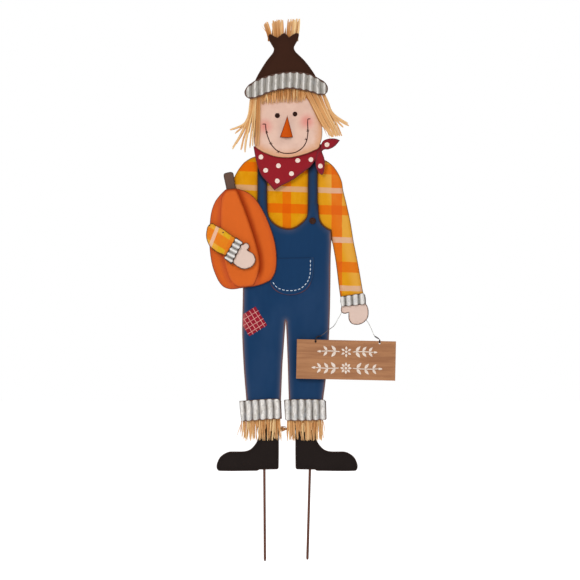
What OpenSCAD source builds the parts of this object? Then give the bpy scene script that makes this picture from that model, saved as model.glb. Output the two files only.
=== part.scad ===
// Metal scarecrow yard decoration on two ground stakes.
// A flat figure built from layered, flanged sheet-metal plates, with
// corrugated cuffs, raffia hair and skirts, and a wooden sign that hangs
// from one hand on a wire bail.
// Millimetres. +Z is up, +X is the viewer's right, the front faces -Y.
// The origin is on the ground line, level with the boot soles, midway
// between the two stakes and in the plane of their axes.

/* [Sheet metal] */
// Thickness of the sheet that the plates are cut from
sheet = 1.0; // [0.8:0.1:1.2]
// Width of the folded rim on the flanged plates
rim = 1.0; // [0.8:0.1:1.4]
// Number of straight steps along each curved stretch of an outline
steps = 2; // [1:1:4]

/* [Layers, front to back] */
// Front face of the shirt plate and the boots
shirt_y = -5; // [-5.5:0.5:-5]
// Front face of the overalls
overalls_y = -10; // [-10.5:0.5:-10]
// Front face of the bandana
bandana_y = -14; // [-14.5:0.5:-14]
// Front face of the head plate
head_y = -19; // [-19.5:0.5:-19]
// Front face of the hat plate
hat_y = -24; // [-24.5:0.5:-24]
// Front face of the pumpkin's outer shell
pumpkin_y = -16; // [-16.5:0.5:-16]
// Front face of the pumpkin's centre lobe
lobe_y = -20; // [-20.5:0.5:-20]
// Front face of the forearm and of the hand on the pumpkin
forearm_y = -26; // [-26.5:0.5:-26]

/* [Corrugated bands] */
// Rib pitch of the hat band
hat_pitch = 13.6; // [12:0.2:15]
// Rib pitch of the trouser cuffs
leg_pitch = 14; // [11:0.5:16]
// Rib pitch of the hanging arm's cuff
arm_pitch = 13; // [9:0.5:14]
// Rib pitch of the bent arm's cuff
bent_pitch = 10; // [8:0.5:12]
// Depth of the ribs, sheet included
rib_depth = 4.6; // [3:0.2:4.8]

/* [Ground stakes] */
// Radius of each stake
stake_r = 2.5; // [2:0.1:2.5]
// Radius of the bore of each stake socket
socket_bore_r = 2.6; // [2.6:0.1:2.8]
// Outer radius of each stake socket
socket_r = 4.4; // [4.2:0.1:4.6]
// Distance from the origin to each stake's axis at the ground line
stake_x = 44.7; // [42:0.1:46]
// Length of stake below the ground line, tip included
stake_drop = 177; // [150:1:220]
// Length of the blunt tip
stake_tip = 3; // [2:0.5:6]
// Lean of the left stake, towards the middle
lean_left = 0.4; // [0:0.1:2]
// Lean of the right stake, towards the middle
lean_right = 1.6; // [0:0.1:2]

/* [Hanging sign] */
// Width of the board
sign_w = 194; // [180:1:200]
// Height of the board
sign_h = 77; // [70:1:84]
// Thickness of the board
sign_t = 6; // [5:0.5:6]
// Radius of the two wire holes
sign_hole_r = 2; // [1.8:0.1:2.2]
// Angle by which the board hangs out of level
sign_roll = 1.28; // [1.1:0.02:1.5]
// Radius of the bail wire
wire_r = 0.6; // [0.5:0.05:0.6]

/* [Hidden] */
$fn = 48;

shirt_colour = [0.90, 0.60, 0.10];
denim = [0.11, 0.24, 0.40];
galvanised = [0.80, 0.79, 0.76];
straw = [0.88, 0.68, 0.40];
boot_black = [0.14, 0.11, 0.10];
skin = [0.87, 0.73, 0.65];
hat_brown = [0.24, 0.13, 0.09];
wine = [0.59, 0.10, 0.16];
pumpkin_orange = [0.84, 0.39, 0.14];
stake_brown = [0.41, 0.27, 0.24];
zinc = [0.62, 0.62, 0.60];

// ---------- outlines: [x, z], with a third value at a sharp corner ----------

hat_pts = [
  [-37, 851, 1], [-35, 855], [-31, 855.5], [-25, 851.5], [-19, 849, 1], [-13.5, 853],
  [-9, 856.5], [-4, 857.5], [0, 853.5], [4, 849.5, 1], [9, 853], [14, 856.5],
  [19.5, 858], [23, 856], [23, 852, 1], [19.5, 841.5], [16, 835.5], [13.5, 829],
  [16.5, 821.5], [22, 816], [35, 803], [48, 786], [56, 773], [60, 760, 1],
  [58, 756, 1], [-62, 756, 1], [-64, 760, 1], [-62, 766.5], [-53.5, 782.5],
  [-40.5, 803], [-33, 812.5], [-27.5, 820], [-26, 827], [-30, 834.5], [-34.5, 842.5]
];

hat_band_pts = [
  [-83.5, 742], [-81, 748.5], [-75, 756], [-60, 766], [-41, 773.5], [-18.5, 779.5],
  [4, 782], [25, 781.5], [44.5, 777.5], [64, 768], [72.5, 762.5], [78, 756],
  [80, 750], [79, 743], [75.5, 738.5], [69, 736], [62.5, 736.5], [46.5, 742],
  [27, 746], [7.5, 748.5], [-12, 746.5], [-34.5, 741], [-52.5, 733.5], [-68.5, 729],
  [-75, 729.5], [-81, 734]
];

hat_tuft_pts = [
  [-36, 842, 1], [22, 842, 1], [24, 857], [27, 884], [22, 888, 1], [8, 887],
  [-9, 886], [-24, 884], [-37, 881], [-47, 878, 1], [-42, 862], [-37, 852]
];

head_pts = [
  [-62, 635], [-51, 627], [-39.5, 621.5], [-25, 616.5], [-12, 614.5], [1, 614],
  [14, 615.5], [27, 618.5], [40, 622.5], [53, 628], [61.5, 632.5], [65.5, 643],
  [68, 651.5], [69, 663], [68.5, 676], [67, 695], [64, 715], [58, 735], [47, 752],
  [30, 764], [5, 769], [-20, 767], [-40, 758], [-54, 742], [-61, 722], [-64, 700],
  [-65, 678], [-65, 655], [-64.5, 643]
];

fringe_pts = [
  [-53, 755, 1], [36, 755, 1], [36, 730], [28, 723], [10, 724], [-10, 722],
  [-32, 719], [-48, 719], [-53, 728]
];

hair_left_pts = [
  [-75, 748, 1], [-54, 749, 1], [-54, 715], [-56, 690], [-58, 660], [-60, 642],
  [-66, 632], [-80, 627], [-95, 629], [-108, 640], [-109, 660], [-100, 676],
  [-86, 690], [-79, 708], [-75, 730]
];

hair_right_pts = [
  [37, 749, 1], [74, 746, 1], [78, 735], [82, 720], [90, 705], [104, 693],
  [121, 684], [120, 675], [111, 664], [103, 655], [92, 652], [85, 653], [78, 663],
  [67, 676], [56, 697], [46, 716], [40, 730]
];

bandana_pts = [
  [-66, 636.5, 1], [-63, 619], [-59, 601.5], [-50.5, 580], [-40, 567.5],
  [-31.5, 558.5], [-25, 550.5, 1], [-12, 559], [1, 565.5], [12.5, 572], [23.5, 580],
  [35, 588.5], [44, 595], [49.5, 601.5], [54, 608, 1], [60, 614], [66, 624],
  [68.5, 632], [68, 641, 1], [60, 640, 1], [53, 631, 1], [35, 625], [0, 622],
  [-35, 625], [-58, 637, 1]
];

tail_lower_pts = [
  [56, 611], [55.5, 603], [57, 595], [60, 588.5], [65, 582], [68, 580.5],
  [71.5, 585], [73, 595], [74, 606], [72.5, 614.5], [69, 624], [66.5, 630, 1],
  [60, 626]
];

tail_upper_pts = [
  [66.5, 631, 1], [66.5, 640.5, 1], [70.5, 647], [77, 650.5], [85.5, 652], [95, 651.5],
  [103.5, 648.5, 1], [99, 642.5], [92, 635.5], [81, 630.5], [72.5, 630], [68.5, 626.5],
  [66.5, 622, 1]
];

shirt_pts = [
  [-35, 623, 1], [-63, 617], [-72, 613.5], [-83.5, 606], [-91.5, 597], [-98, 587.5],
  [-105, 574], [-114, 554], [-125, 528], [-134, 500], [-141, 470], [-143, 450],
  [-138, 436], [-126, 431], [-113, 440], [-104, 470], [-92, 500], [-78, 512],
  [-68, 495], [-62, 460], [-60, 432, 1], [60, 432, 1], [66, 456], [78, 464],
  [87, 452], [92, 431], [96, 406.5], [101.5, 362], [104.5, 341.5, 1],
  [150.5, 346, 1], [148, 357], [143, 386.5], [136.5, 421.5], [130.5, 451],
  [124.5, 488.5], [117, 523], [110, 551.5], [108, 565.5], [104, 577], [99, 586.5],
  [91.5, 597], [83.5, 604.5], [74, 610], [60, 615], [35, 622, 1]
];

overalls_pts = [
  [-58, 608, 1], [-58, 560, 1], [-58, 527, 1], [-59.5, 522, 1], [-61.5, 499],
  [-63.5, 489.5], [-68, 482.5], [-74, 477.5], [-80, 473.5], [-85, 472, 1],
  [-86.5, 450], [-86.5, 400], [-87, 340], [-88, 292], [-88, 265], [-85.5, 210],
  [-83, 175], [-80, 138.5], [-79, 112, 1], [-13, 112, 1], [-11.5, 150], [-9, 210],
  [-7, 237.5], [-5, 265], [-2.5, 294, 1], [-0.5, 256], [1.5, 201], [3, 150],
  [4.5, 112, 1], [70, 112, 1], [71, 140.5], [74, 164], [77.5, 195], [82, 258.5],
  [84, 310.5], [85, 365.5], [85.5, 420], [86.5, 450], [85.5, 472, 1], [81, 473.5],
  [75, 477.5], [69, 482.5], [64.5, 489.5], [62.5, 499], [61, 522.5, 1],
  [59.5, 526.5, 1], [59.5, 608, 1], [41.5, 608, 1], [41, 557, 1], [40.5, 510],
  [39, 499], [35, 492], [28, 485], [19, 478.5], [8.5, 474.5], [0.5, 474],
  [-7.5, 475.5], [-16.5, 478.5], [-25.5, 484.5], [-32, 491.5], [-36.5, 500],
  [-38.5, 510], [-39.5, 530, 1], [-39.5, 608, 1]
];

pocket_pts = [
  [-37, 417, 1], [52, 419, 1], [52, 395], [47, 370], [34, 353], [10, 345],
  [-12, 348], [-28, 359], [-36, 378]
];

boot_pts = [
  [-16.5, 128, 1], [-16.5, 6.5], [-19, 3, 1], [-42.5, 2.5], [-54, 2.5, 1],
  [-59, 0, 1], [-133.5, 0], [-137.5, 3.5], [-138.5, 10], [-136.5, 18],
  [-131.5, 27], [-123.5, 33.5], [-114, 37.5], [-102, 38], [-90, 38], [-80.5, 39],
  [-72, 42.5], [-64, 50.5], [-58.5, 60], [-56, 75], [-56, 128, 1]
];

leg_cuff_left_pts = [
  [-93.5, 137.5, 1], [-63, 140], [-31.5, 142], [-14, 141.5, 1], [-12, 137.5, 1],
  [-10.5, 102.5, 1], [-35.5, 101.5], [-63, 99.5], [-88.5, 97.5, 1], [-90, 99.5, 1],
  [-92.5, 120]
];

leg_cuff_right_pts = [
  [-6, 138.5, 1], [-4, 140, 1], [13.5, 141], [54.5, 141], [73, 140, 1],
  [76.5, 136.5, 1], [77.5, 102.5, 1], [75.5, 100.5, 1], [36, 99], [0, 99, 1],
  [-4, 101.5, 1]
];

skirt_left_pts = [
  [-90, 111.5, 1], [-12.5, 111.5, 1], [-12, 95], [-13, 74], [-25, 64], [-45, 60],
  [-70, 60], [-88, 66], [-93, 85]
];

skirt_right_pts = [
  [-2, 111.5, 1], [70, 111.5, 1], [73, 95], [71, 72], [58, 63], [35, 60], [12, 62],
  [-1, 72], [-3, 92]
];

pumpkin_pts = [
  [-120, 552], [-110, 553.5], [-100, 554], [-82.5, 549], [-72, 543], [-63, 535],
  [-54, 522.5], [-47, 510], [-40, 496], [-33, 478.5], [-27, 461], [-22.5, 441.5],
  [-20.5, 422], [-20.5, 406], [-22.5, 392], [-27, 381.5], [-31.5, 375],
  [-40, 370], [-50.5, 365.5], [-64.5, 362], [-79, 360], [-91, 358.5],
  [-103.5, 356.5], [-114, 357], [-124.5, 361], [-133.5, 371], [-140.5, 385],
  [-146, 400.5], [-149.5, 416.5], [-151.5, 432.5], [-152.5, 450], [-152.5, 468],
  [-151.5, 485.5], [-149.5, 503], [-146, 517], [-140.5, 529.5], [-133.5, 539],
  [-126.5, 546.5]
];

lobe_pts = [
  [-100, 551], [-94.5, 542], [-89.5, 529.5], [-82.5, 512], [-76, 494], [-70, 476.5],
  [-64.5, 459], [-59.5, 441.5], [-55, 423.5], [-53.5, 409.5], [-54, 397.5],
  [-57.5, 385], [-62, 372.5], [-67, 365], [-76, 362.5], [-88, 361.5], [-97, 362.5],
  [-105.5, 368.5], [-112.5, 378], [-117.5, 392], [-121, 405], [-126, 430],
  [-129, 455], [-130, 478], [-130, 495], [-129.5, 512], [-128, 529.5],
  [-125.5, 540], [-120, 549.5], [-110, 552]
];

stem_pts = [
  [-119.5, 544, 1], [-119.5, 554], [-122, 566.5], [-124.5, 579], [-123.5, 583],
  [-119, 585], [-110, 586.5], [-106, 584.5], [-104.5, 580], [-102.5, 565],
  [-100.5, 554], [-100.5, 544, 1]
];

forearm_pts = [
  [-147.5, 485.5], [-139, 481.5], [-124.5, 474], [-112.5, 465], [-96, 454, 1],
  [-115, 417, 1], [-119.5, 421.5], [-126.5, 424.5], [-136, 428.5], [-145, 434.5],
  [-151.5, 440.5], [-155, 447], [-157.5, 454], [-158.5, 462.5], [-157.5, 471.5],
  [-155, 480]
];

forearm_cuff_pts = [
  [-100, 458.5, 1], [-86, 448.5, 1], [-98, 426], [-108.5, 405, 1], [-124, 417, 1],
  [-111, 439]
];

hand_left_pts = [
  [-90, 446, 1], [-86, 444.5], [-84, 446.5], [-79.5, 447.5], [-75.5, 445],
  [-73.5, 440.5], [-75, 436.5], [-77.5, 433.5, 1], [-72, 430], [-66.5, 426.5],
  [-63, 421], [-61.5, 415], [-63, 408], [-67.5, 401.5], [-74.5, 397.5],
  [-82.5, 395.5], [-89.5, 396.5], [-96.5, 400], [-102.5, 404], [-107.5, 409, 1]
];

arm_cuff_pts = [
  [105, 342, 1], [149.5, 349, 1], [153, 345.5, 1], [154.5, 336.5],
  [154.5, 327.5, 1], [129.5, 324.5], [106.5, 322.5, 1], [104.5, 333]
];

hand_right_pts = [
  [106.5, 340, 1], [106.5, 323], [105.5, 316], [107, 311], [112, 308.5],
  [117, 309], [120.5, 310.5, 1], [120.5, 300.5], [122, 294.5], [126.5, 289],
  [132, 287], [141, 287], [149.5, 290.5], [155, 295.5], [159, 302], [160, 310.5],
  [159.5, 317.5], [157.5, 323.5], [154, 330], [151, 343, 1]
];

// ---------- curve helpers ----------

function unit(v) = v / max(norm(v), 0.000001);
function flat2(p) = [p[0], p[1]];
function sharp(p) = len(p) > 2;

// point on a smooth curve from a to b that leaves along ta and arrives along tb
function between(a, b, ta, tb, t) =
  let (d = norm(b - a), t2 = t * t, t3 = t2 * t)
  (2 * t3 - 3 * t2 + 1) * a + (t3 - 2 * t2 + t) * d * ta
  + (3 * t2 - 2 * t3) * b + (t3 - t2) * d * tb;

// closed outline through the points, rounded everywhere but at sharp corners
function outline(p, n = steps) =
  let (c = len(p))
  [for (i = [0 : c - 1])
    let (
      a = flat2(p[i]), b = flat2(p[(i + 1) % c]),
      before = flat2(p[(i + c - 1) % c]), after = flat2(p[(i + 2) % c]),
      ta = sharp(p[i]) ? unit(b - a) : unit(b - before),
      tb = sharp(p[(i + 1) % c]) ? unit(b - a) : unit(after - a),
      m = sharp(p[i]) && sharp(p[(i + 1) % c]) ? 1 : n
    )
    for (j = [0 : m - 1]) between(a, b, ta, tb, j / m)];

// open smooth route through points in space, m steps from each to the next
function route(p, m) =
  let (c = len(p))
  concat(
    [for (i = [0 : c - 2])
      let (
        ta = i == 0 ? unit(p[1] - p[0]) : unit(p[i + 1] - p[i - 1]),
        tb = i == c - 2 ? unit(p[c - 1] - p[c - 2]) : unit(p[i + 2] - p[i])
      )
      for (j = [0 : m - 1]) between(p[i], p[i + 1], ta, tb, j / m)],
    [p[c - 1]]);

// ---------- building blocks ----------

// flat plate that lies between two depths
module plate(pts, front, back) {
  translate([0, back, 0]) rotate([90, 0, 0])
    linear_extrude(back - front) polygon(pts);
}

// plate with its edge folded back all round
module flanged(pts, front, back, t = sheet, w = rim) {
  difference() {
    plate(pts, front, back);
    translate([0, back + 1, 0]) rotate([90, 0, 0])
      linear_extrude(back + 1 - front - t) offset(delta = -w) polygon(pts);
  }
}

// one rib of the corrugated sheet, from a valley to the next: [along, depth]
function rib(pitch, depth, t) = [
  [0.00 * pitch, 0], [0.18 * pitch, 0], [0.34 * pitch, depth - t],
  [0.66 * pitch, depth - t], [0.82 * pitch, 0]
];

// corrugated sheet: ribs run along z, valleys at y = 0, crests towards -y
module corrugated(count, pitch, depth, height, t = sheet) {
  face = [for (i = [0 : count - 1]) for (p = rib(pitch, depth, t)) [i * pitch + p[0], -p[1]]];
  ends = concat(face, [[count * pitch, 0]]);
  n = len(ends);
  linear_extrude(height)
    polygon(concat(
      [for (p = ends) [p[0], p[1]]],
      [for (i = [n - 1 : -1 : 0]) [ends[i][0], ends[i][1] - t]]));
}

// corrugated band cut to an outline, ribs turned by ang about the Y axis
module band(pts, back, count, pitch, start, low, height, ang = 0) {
  intersection() {
    plate(pts, back - rib_depth - 1, back);
    translate([start[0], back, start[1]]) rotate([0, ang, 0])
      translate([0, 0, low]) corrugated(count, pitch, rib_depth, height);
  }
}

// round piece along Y between two depths
module disc(x, z, front, back, r) {
  translate([x, back, z]) rotate([90, 0, 0]) cylinder(r = r, h = back - front);
}

// ---------- figure ----------

module shirt_plate() { color(shirt_colour) flanged(outline(shirt_pts), shirt_y, 0); }

module overalls_plate() { color(denim) flanged(outline(overalls_pts), overalls_y, shirt_y); }

// stops just short of the pumpkin's rim, which stands on the overalls
module pocket_plate() {
  color(denim) difference() {
    plate(outline(pocket_pts), overalls_y - 1.2, overalls_y);
    translate([0, overalls_y + 1, 0]) rotate([90, 0, 0])
      linear_extrude(4) offset(delta = 0.5) polygon(outline(pumpkin_pts));
  }
}

module strap_button() {
  color([0.27, 0.14, 0.08]) difference() {
    union() {
      disc(50, 490.5, overalls_y - 1.4, overalls_y, 6.5);
      difference() {
        disc(50, 490.5, overalls_y - 2.4, overalls_y, 6.5);
        disc(50, 490.5, overalls_y - 3, overalls_y + 1, 5);
      }
    }
    for (s = [-1, 1]) disc(50 + 1.8 * s, 490.5, overalls_y - 3, overalls_y - 0.5, 0.7);
  }
}

// boot shell, with a gap in the sole rim that the stake's collar passes through
module boot_shell() {
  difference() {
    flanged(outline(boot_pts), shirt_y, -1);
    translate([-stake_x - 4.8, shirt_y + sheet, -2]) cube([9.6, 8, 9]);
  }
}
module boot_left() { color(boot_black) boot_shell(); }
module boot_right() { color(boot_black) mirror([1, 0, 0]) boot_shell(); }

module leg_cuff_left() {
  color(galvanised)
    band(outline(leg_cuff_left_pts), overalls_y, 7, leg_pitch, [-101, 90], 0, 60, -1.5);
}
module leg_cuff_right() {
  color(galvanised)
    band(outline(leg_cuff_right_pts), overalls_y, 7, leg_pitch, [-8, 90], 0, 60, 0);
}

module raffia_skirt_left() { color(straw) plate(outline(skirt_left_pts), overalls_y, shirt_y); }
module raffia_skirt_right() { color(straw) plate(outline(skirt_right_pts), overalls_y, shirt_y); }

// flat bar across the backs of both boots
module leg_brace() { color(stake_brown) translate([-56, -1, 80]) cube([112, 2.5, 4]); }

// ---------- head and hat ----------

module head_plate() { color(skin) flanged(outline(head_pts), head_y, bandana_y); }

// folded cone, its ridge running down from the tip between the eyes
module nose() {
  color([0.80, 0.33, 0.05]) polyhedron(
    points = [[0.5, head_y, 696.5], [-14, head_y, 654], [11.5, head_y, 654], [-1, head_y - 6, 655]],
    faces = [[0, 1, 2], [0, 3, 1], [0, 2, 3], [1, 3, 2]]);
}

// domed bead standing on the face; r is the radius of its foot
module bead(x, z, r) {
  ball = 8;
  sink = sqrt(ball * ball - r * r);
  top = asin(r / ball);
  translate([x, head_y, z]) rotate([90, 0, 0]) rotate_extrude()
    polygon(concat([[0, 0]],
      [for (i = [0 : 5]) let (a = top * (1 - i / 5)) [ball * sin(a), ball * cos(a) - sink]]));
}
module eyes() { color([0.08, 0.06, 0.06]) { bead(-19, 696.5, 5); bead(15.5, 699.5, 4.7); } }

// joggled strap from the shirt's front up behind the bandana to the head's back
module neck_strap() {
  f = head_y + sheet;
  color(zinc) translate([-12.5, 0, 0]) rotate([90, 0, 90]) linear_extrude(25)
    polygon([
      [shirt_y, 578], [shirt_y, 622.5], [f + 1.5, 648.5], [f + 1.5, 735],
      [f, 735], [f, 648], [shirt_y - 1.5, 622], [shirt_y - 1.5, 578]
    ]);
}

module hat_plate() { color(hat_brown) flanged(outline(hat_pts), hat_y, head_y); }
module hat_band() {
  color(galvanised)
    band(outline(hat_band_pts), hat_y, 14, hat_pitch, [-62.9 - 2.5 * hat_pitch, 720], 0, 80, 0);
}
module hat_tuft() { color(straw) plate(outline(hat_tuft_pts), head_y, head_y + 3); }
module hair_fringe() { color(straw) plate(outline(fringe_pts), head_y - 3.5, head_y); }
module hair_left() { color(straw) plate(outline(hair_left_pts), head_y - 3.5, head_y); }
module hair_right() { color(straw) plate(outline(hair_right_pts), head_y - 3.5, head_y); }

module bandana() { color(wine) flanged(outline(bandana_pts), bandana_y, overalls_y); }
module bandana_tail_lower() { color(wine) plate(outline(tail_lower_pts), bandana_y - 1, bandana_y); }
module bandana_tail_upper() { color(wine) plate(outline(tail_upper_pts), bandana_y - 2, bandana_y - 1); }

// ---------- pumpkin and the arm round it ----------

module pumpkin_shell() { color(pumpkin_orange) flanged(outline(pumpkin_pts), pumpkin_y, overalls_y); }
module pumpkin_lobe() { color(pumpkin_orange) flanged(outline(lobe_pts), lobe_y, pumpkin_y); }
module pumpkin_stem() { color([0.37, 0.29, 0.25]) plate(outline(stem_pts), overalls_y, overalls_y + 1.2); }
module forearm() { color(shirt_colour) flanged(outline(forearm_pts), forearm_y, lobe_y); }
module forearm_cuff() {
  // the ribs run along the arm, which points down to the right
  color(galvanised)
    band(outline(forearm_cuff_pts), forearm_y, 6, bent_pitch, [-100, 397], 0, 50, -59);
}
module hand_left() { color(skin) flanged(outline(hand_left_pts), forearm_y, lobe_y); }
module forearm_rivets() {
  color(zinc) {
    disc(-152, 481, forearm_y - 0.6, forearm_y, 1.3);
    disc(-125, 467.5, forearm_y - 0.6, forearm_y, 1.3);
  }
}

// ---------- hanging arm ----------

module arm_cuff() {
  color(galvanised)
    band(outline(arm_cuff_pts), shirt_y, 5, arm_pitch, [97, 310], 0, 50, 0);
}
module hand_right() { color(skin) plate(outline(hand_right_pts), shirt_y, shirt_y + sheet); }

// peg on the back of the hand that the bail wire hangs on
hook = [116, 335];
module hand_hook() {
  color(zinc) {
    disc(hook[0], hook[1], shirt_y + sheet, -0.6, 1.2);
    disc(hook[0], hook[1], -1.4, -0.6, 2.8);
  }
}

// ---------- fixings ----------

boot_fix_x = [-46, -26, 26, 46];
module spacers() {
  color(zinc) {
    for (x = boot_fix_x) disc(x, 120, overalls_y + sheet, shirt_y, 3);
    disc(-22, 762, hat_y + sheet, head_y, 3);
    disc(22, 762, hat_y + sheet, head_y, 3);
  }
}
module rivets() {
  color(zinc) {
    for (x = boot_fix_x) disc(x, 120, shirt_y + sheet, shirt_y + sheet + 1.2, 3);
    for (z = [590, 606]) disc(0, z, shirt_y + sheet, shirt_y + sheet + 1.2, 3);
    for (z = [680, 715]) disc(0, z, head_y + sheet + 1.5, head_y + sheet + 2.7, 3);
  }
}

// ---------- stakes, sockets and thumbscrews ----------

// places its children on a stake's axis, z running up along it
module on_stake(side) {
  lean = side < 0 ? -lean_left : lean_right;
  translate([side * stake_x, 0, 0]) rotate([0, lean, 0]) children();
}

screw_z = 40;
module socket(side) {
  on_stake(side) difference() {
    union() {
      difference() {
        translate([0, 0, 10]) cylinder(r = socket_r, h = 65);
        translate([-6, shirt_y - 5 + sheet, 0]) cube([12, 5, 90]);
      }
      translate([0, 3.4, screw_z]) rotate([-90, 0, 0]) cylinder(r = 3.4, h = 4.6);
    }
    translate([0, 0, 5]) cylinder(r = socket_bore_r, h = 80);
    translate([0, 0, screw_z]) rotate([-90, 0, 0]) cylinder(r = 1.6, h = 12);
  }
}
module socket_left() { color(zinc) socket(-1); }
module socket_right() { color(zinc) socket(1); }

// lift moves the stake up its socket
module stake(side, lift = 0) {
  on_stake(side) translate([0, 0, lift]) {
    translate([0, 0, -stake_drop + stake_tip]) cylinder(r = stake_r, h = stake_drop - stake_tip + 68);
    translate([0, 0, -stake_drop]) cylinder(r1 = 1.8, r2 = stake_r, h = stake_tip);
    translate([0, 0, 3]) cylinder(r = 3.8, h = 3);
  }
}
module stake_left() { color(stake_brown) stake(-1); }
module stake_right() { color(stake_brown) stake(1, 2.5); }

module thumbscrew(side) {
  on_stake(side) translate([0, 0, screw_z]) rotate([-90, 0, 0]) {
    translate([0, 0, 3.3]) cylinder(r = 1.5, h = 7.5);
    difference() {
      translate([0, 0, 8.4]) cylinder(r = 5.5, h = 4);
      for (a = [0 : 30 : 330]) rotate([0, 0, a]) translate([5.9, 0, 8]) cylinder(r = 0.9, h = 5);
    }
  }
}
module thumbscrew_left() { color(zinc) thumbscrew(-1); }
module thumbscrew_right() { color(zinc) thumbscrew(1); }

// ---------- sign and bail ----------

sign_at = [115.5, -17, 218];
module sign_board() {
  color([0.73, 0.53, 0.37])
    translate(sign_at) rotate([0, sign_roll, 0]) difference() {
      translate([-sign_w / 2, -sign_t / 2, -sign_h / 2]) cube([sign_w, sign_t, sign_h]);
      for (x = [-60.5, 65])
        translate([x, 5, 34.5]) rotate([90, 0, 0]) cylinder(r = sign_hole_r, h = 10);
    }
}

// the wire's own route: a loop through the left hole, up behind the thumb,
// over the peg, down behind the hand and round through the right hole
wire_pts = [
  [59, -18, 261.5], [57, -20.2, 260.5], [55.8, -20.9, 258], [55.8, -20.8, 255.5],
  [55.8, -19.5, 254], [55.8, -17, 253.7], [55.8, -14, 253.8], [55.8, -12.2, 255],
  [56, -11.7, 258], [57, -12, 261.5], [60, -13.4, 264.2], [67.5, -16, 266],
  [80, -14.5, 276], [92, -12.2, 285], [99, -8, 297], [105.5, -3.6, 308],
  [109.5, -2.9, 319], [112.4, -2.7, 329], [113.7, -2.7, 334.5], [114.4, -2.7, 336.5],
  [116, -2.7, 337.3], [117.6, -2.7, 336.6], [120, -2.7, 334.2], [128, -2.8, 326],
  [138, -2.9, 315.5], [148, -3, 304], [158, -3.4, 292.5], [164, -7, 281.5],
  [168, -12, 272], [171.5, -14.6, 264.5], [176, -13.4, 260.8], [180, -12, 259.5],
  [181.2, -11.7, 256.5], [181.3, -12.2, 252.8], [181.3, -14, 251.2], [181.3, -17, 251],
  [181.3, -19.5, 251.2], [181.3, -20.8, 252.8], [181.3, -20.9, 256], [180, -20.4, 259],
  [177, -18.5, 260.5]
];

// round wire swept along a route, its section carried round without twisting
module swept(p, r, sides = 8) {
  c = len(p);
  dir = [for (i = [0 : c - 1]) unit(p[min(i + 1, c - 1)] - p[max(i - 1, 0)])];
  across = [for (i = 0, v = unit(cross(dir[0], [0, 1, 0.3])); i < c;
    i = i + 1, v = i < c ? unit(v - (v * dir[i]) * dir[i]) : v) v];
  ring = [for (i = [0 : c - 1]) for (k = [0 : sides - 1])
    let (a = 360 * k / sides)
    p[i] + r * (cos(a) * across[i] + sin(a) * cross(dir[i], across[i]))];
  polyhedron(
    points = ring,
    faces = concat(
      [[for (k = [sides - 1 : -1 : 0]) k]],
      [[for (k = [0 : sides - 1]) (c - 1) * sides + k]],
      [for (i = [0 : c - 2]) for (k = [0 : sides - 1])
        let (n = (k + 1) % sides, a = i * sides, b = a + sides)
        each [[a + k, a + n, b + n], [a + k, b + n, b + k]]]),
    convexity = 10);
}
module hanger_wire() { color([0.35, 0.33, 0.31]) swept(route(wire_pts, 2), wire_r); }

shirt_plate();
overalls_plate();
pocket_plate();
strap_button();
boot_left();
boot_right();
leg_cuff_left();
leg_cuff_right();
raffia_skirt_left();
raffia_skirt_right();
leg_brace();
head_plate();
nose();
eyes();
neck_strap();
hat_plate();
hat_band();
hat_tuft();
hair_fringe();
hair_left();
hair_right();
bandana();
bandana_tail_lower();
bandana_tail_upper();
pumpkin_shell();
pumpkin_lobe();
pumpkin_stem();
forearm();
forearm_cuff();
hand_left();
forearm_rivets();
arm_cuff();
hand_right();
hand_hook();
spacers();
rivets();
socket_left();
socket_right();
hanger_wire();
sign_board();
stake_left();
stake_right();
thumbscrew_left();
thumbscrew_right();
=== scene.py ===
import math
import random

import bpy
import numpy as np
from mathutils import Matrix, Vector
from mathutils.geometry import delaunay_2d_cdt


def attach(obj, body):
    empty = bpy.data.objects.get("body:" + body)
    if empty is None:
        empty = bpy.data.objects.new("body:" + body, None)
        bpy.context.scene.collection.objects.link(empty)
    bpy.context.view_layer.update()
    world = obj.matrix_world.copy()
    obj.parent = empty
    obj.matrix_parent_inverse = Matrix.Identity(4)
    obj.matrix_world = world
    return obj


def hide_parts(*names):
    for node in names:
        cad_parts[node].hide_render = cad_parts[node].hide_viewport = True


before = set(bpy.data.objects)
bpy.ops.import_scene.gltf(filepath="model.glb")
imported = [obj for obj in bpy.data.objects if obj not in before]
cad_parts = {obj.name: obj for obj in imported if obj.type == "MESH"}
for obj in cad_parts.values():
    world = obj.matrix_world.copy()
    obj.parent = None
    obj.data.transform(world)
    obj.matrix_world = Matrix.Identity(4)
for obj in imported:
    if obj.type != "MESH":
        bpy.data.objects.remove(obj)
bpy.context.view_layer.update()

S = bpy.context.scene

# ------------------------------------------------------------------ camera, light, floor
cam_data = bpy.data.cameras.new("camera")
cam_data.lens = 200
cam_data.sensor_width = 36
cam_data.clip_end = 60
cam = bpy.data.objects.new("camera", cam_data)
cam.location = (0.0057, -6.328, 0.355)
cam.rotation_euler = (math.radians(90), 0, 0)
S.collection.objects.link(cam)
S.camera = cam
S.view_settings.view_transform = "Standard"

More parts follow.
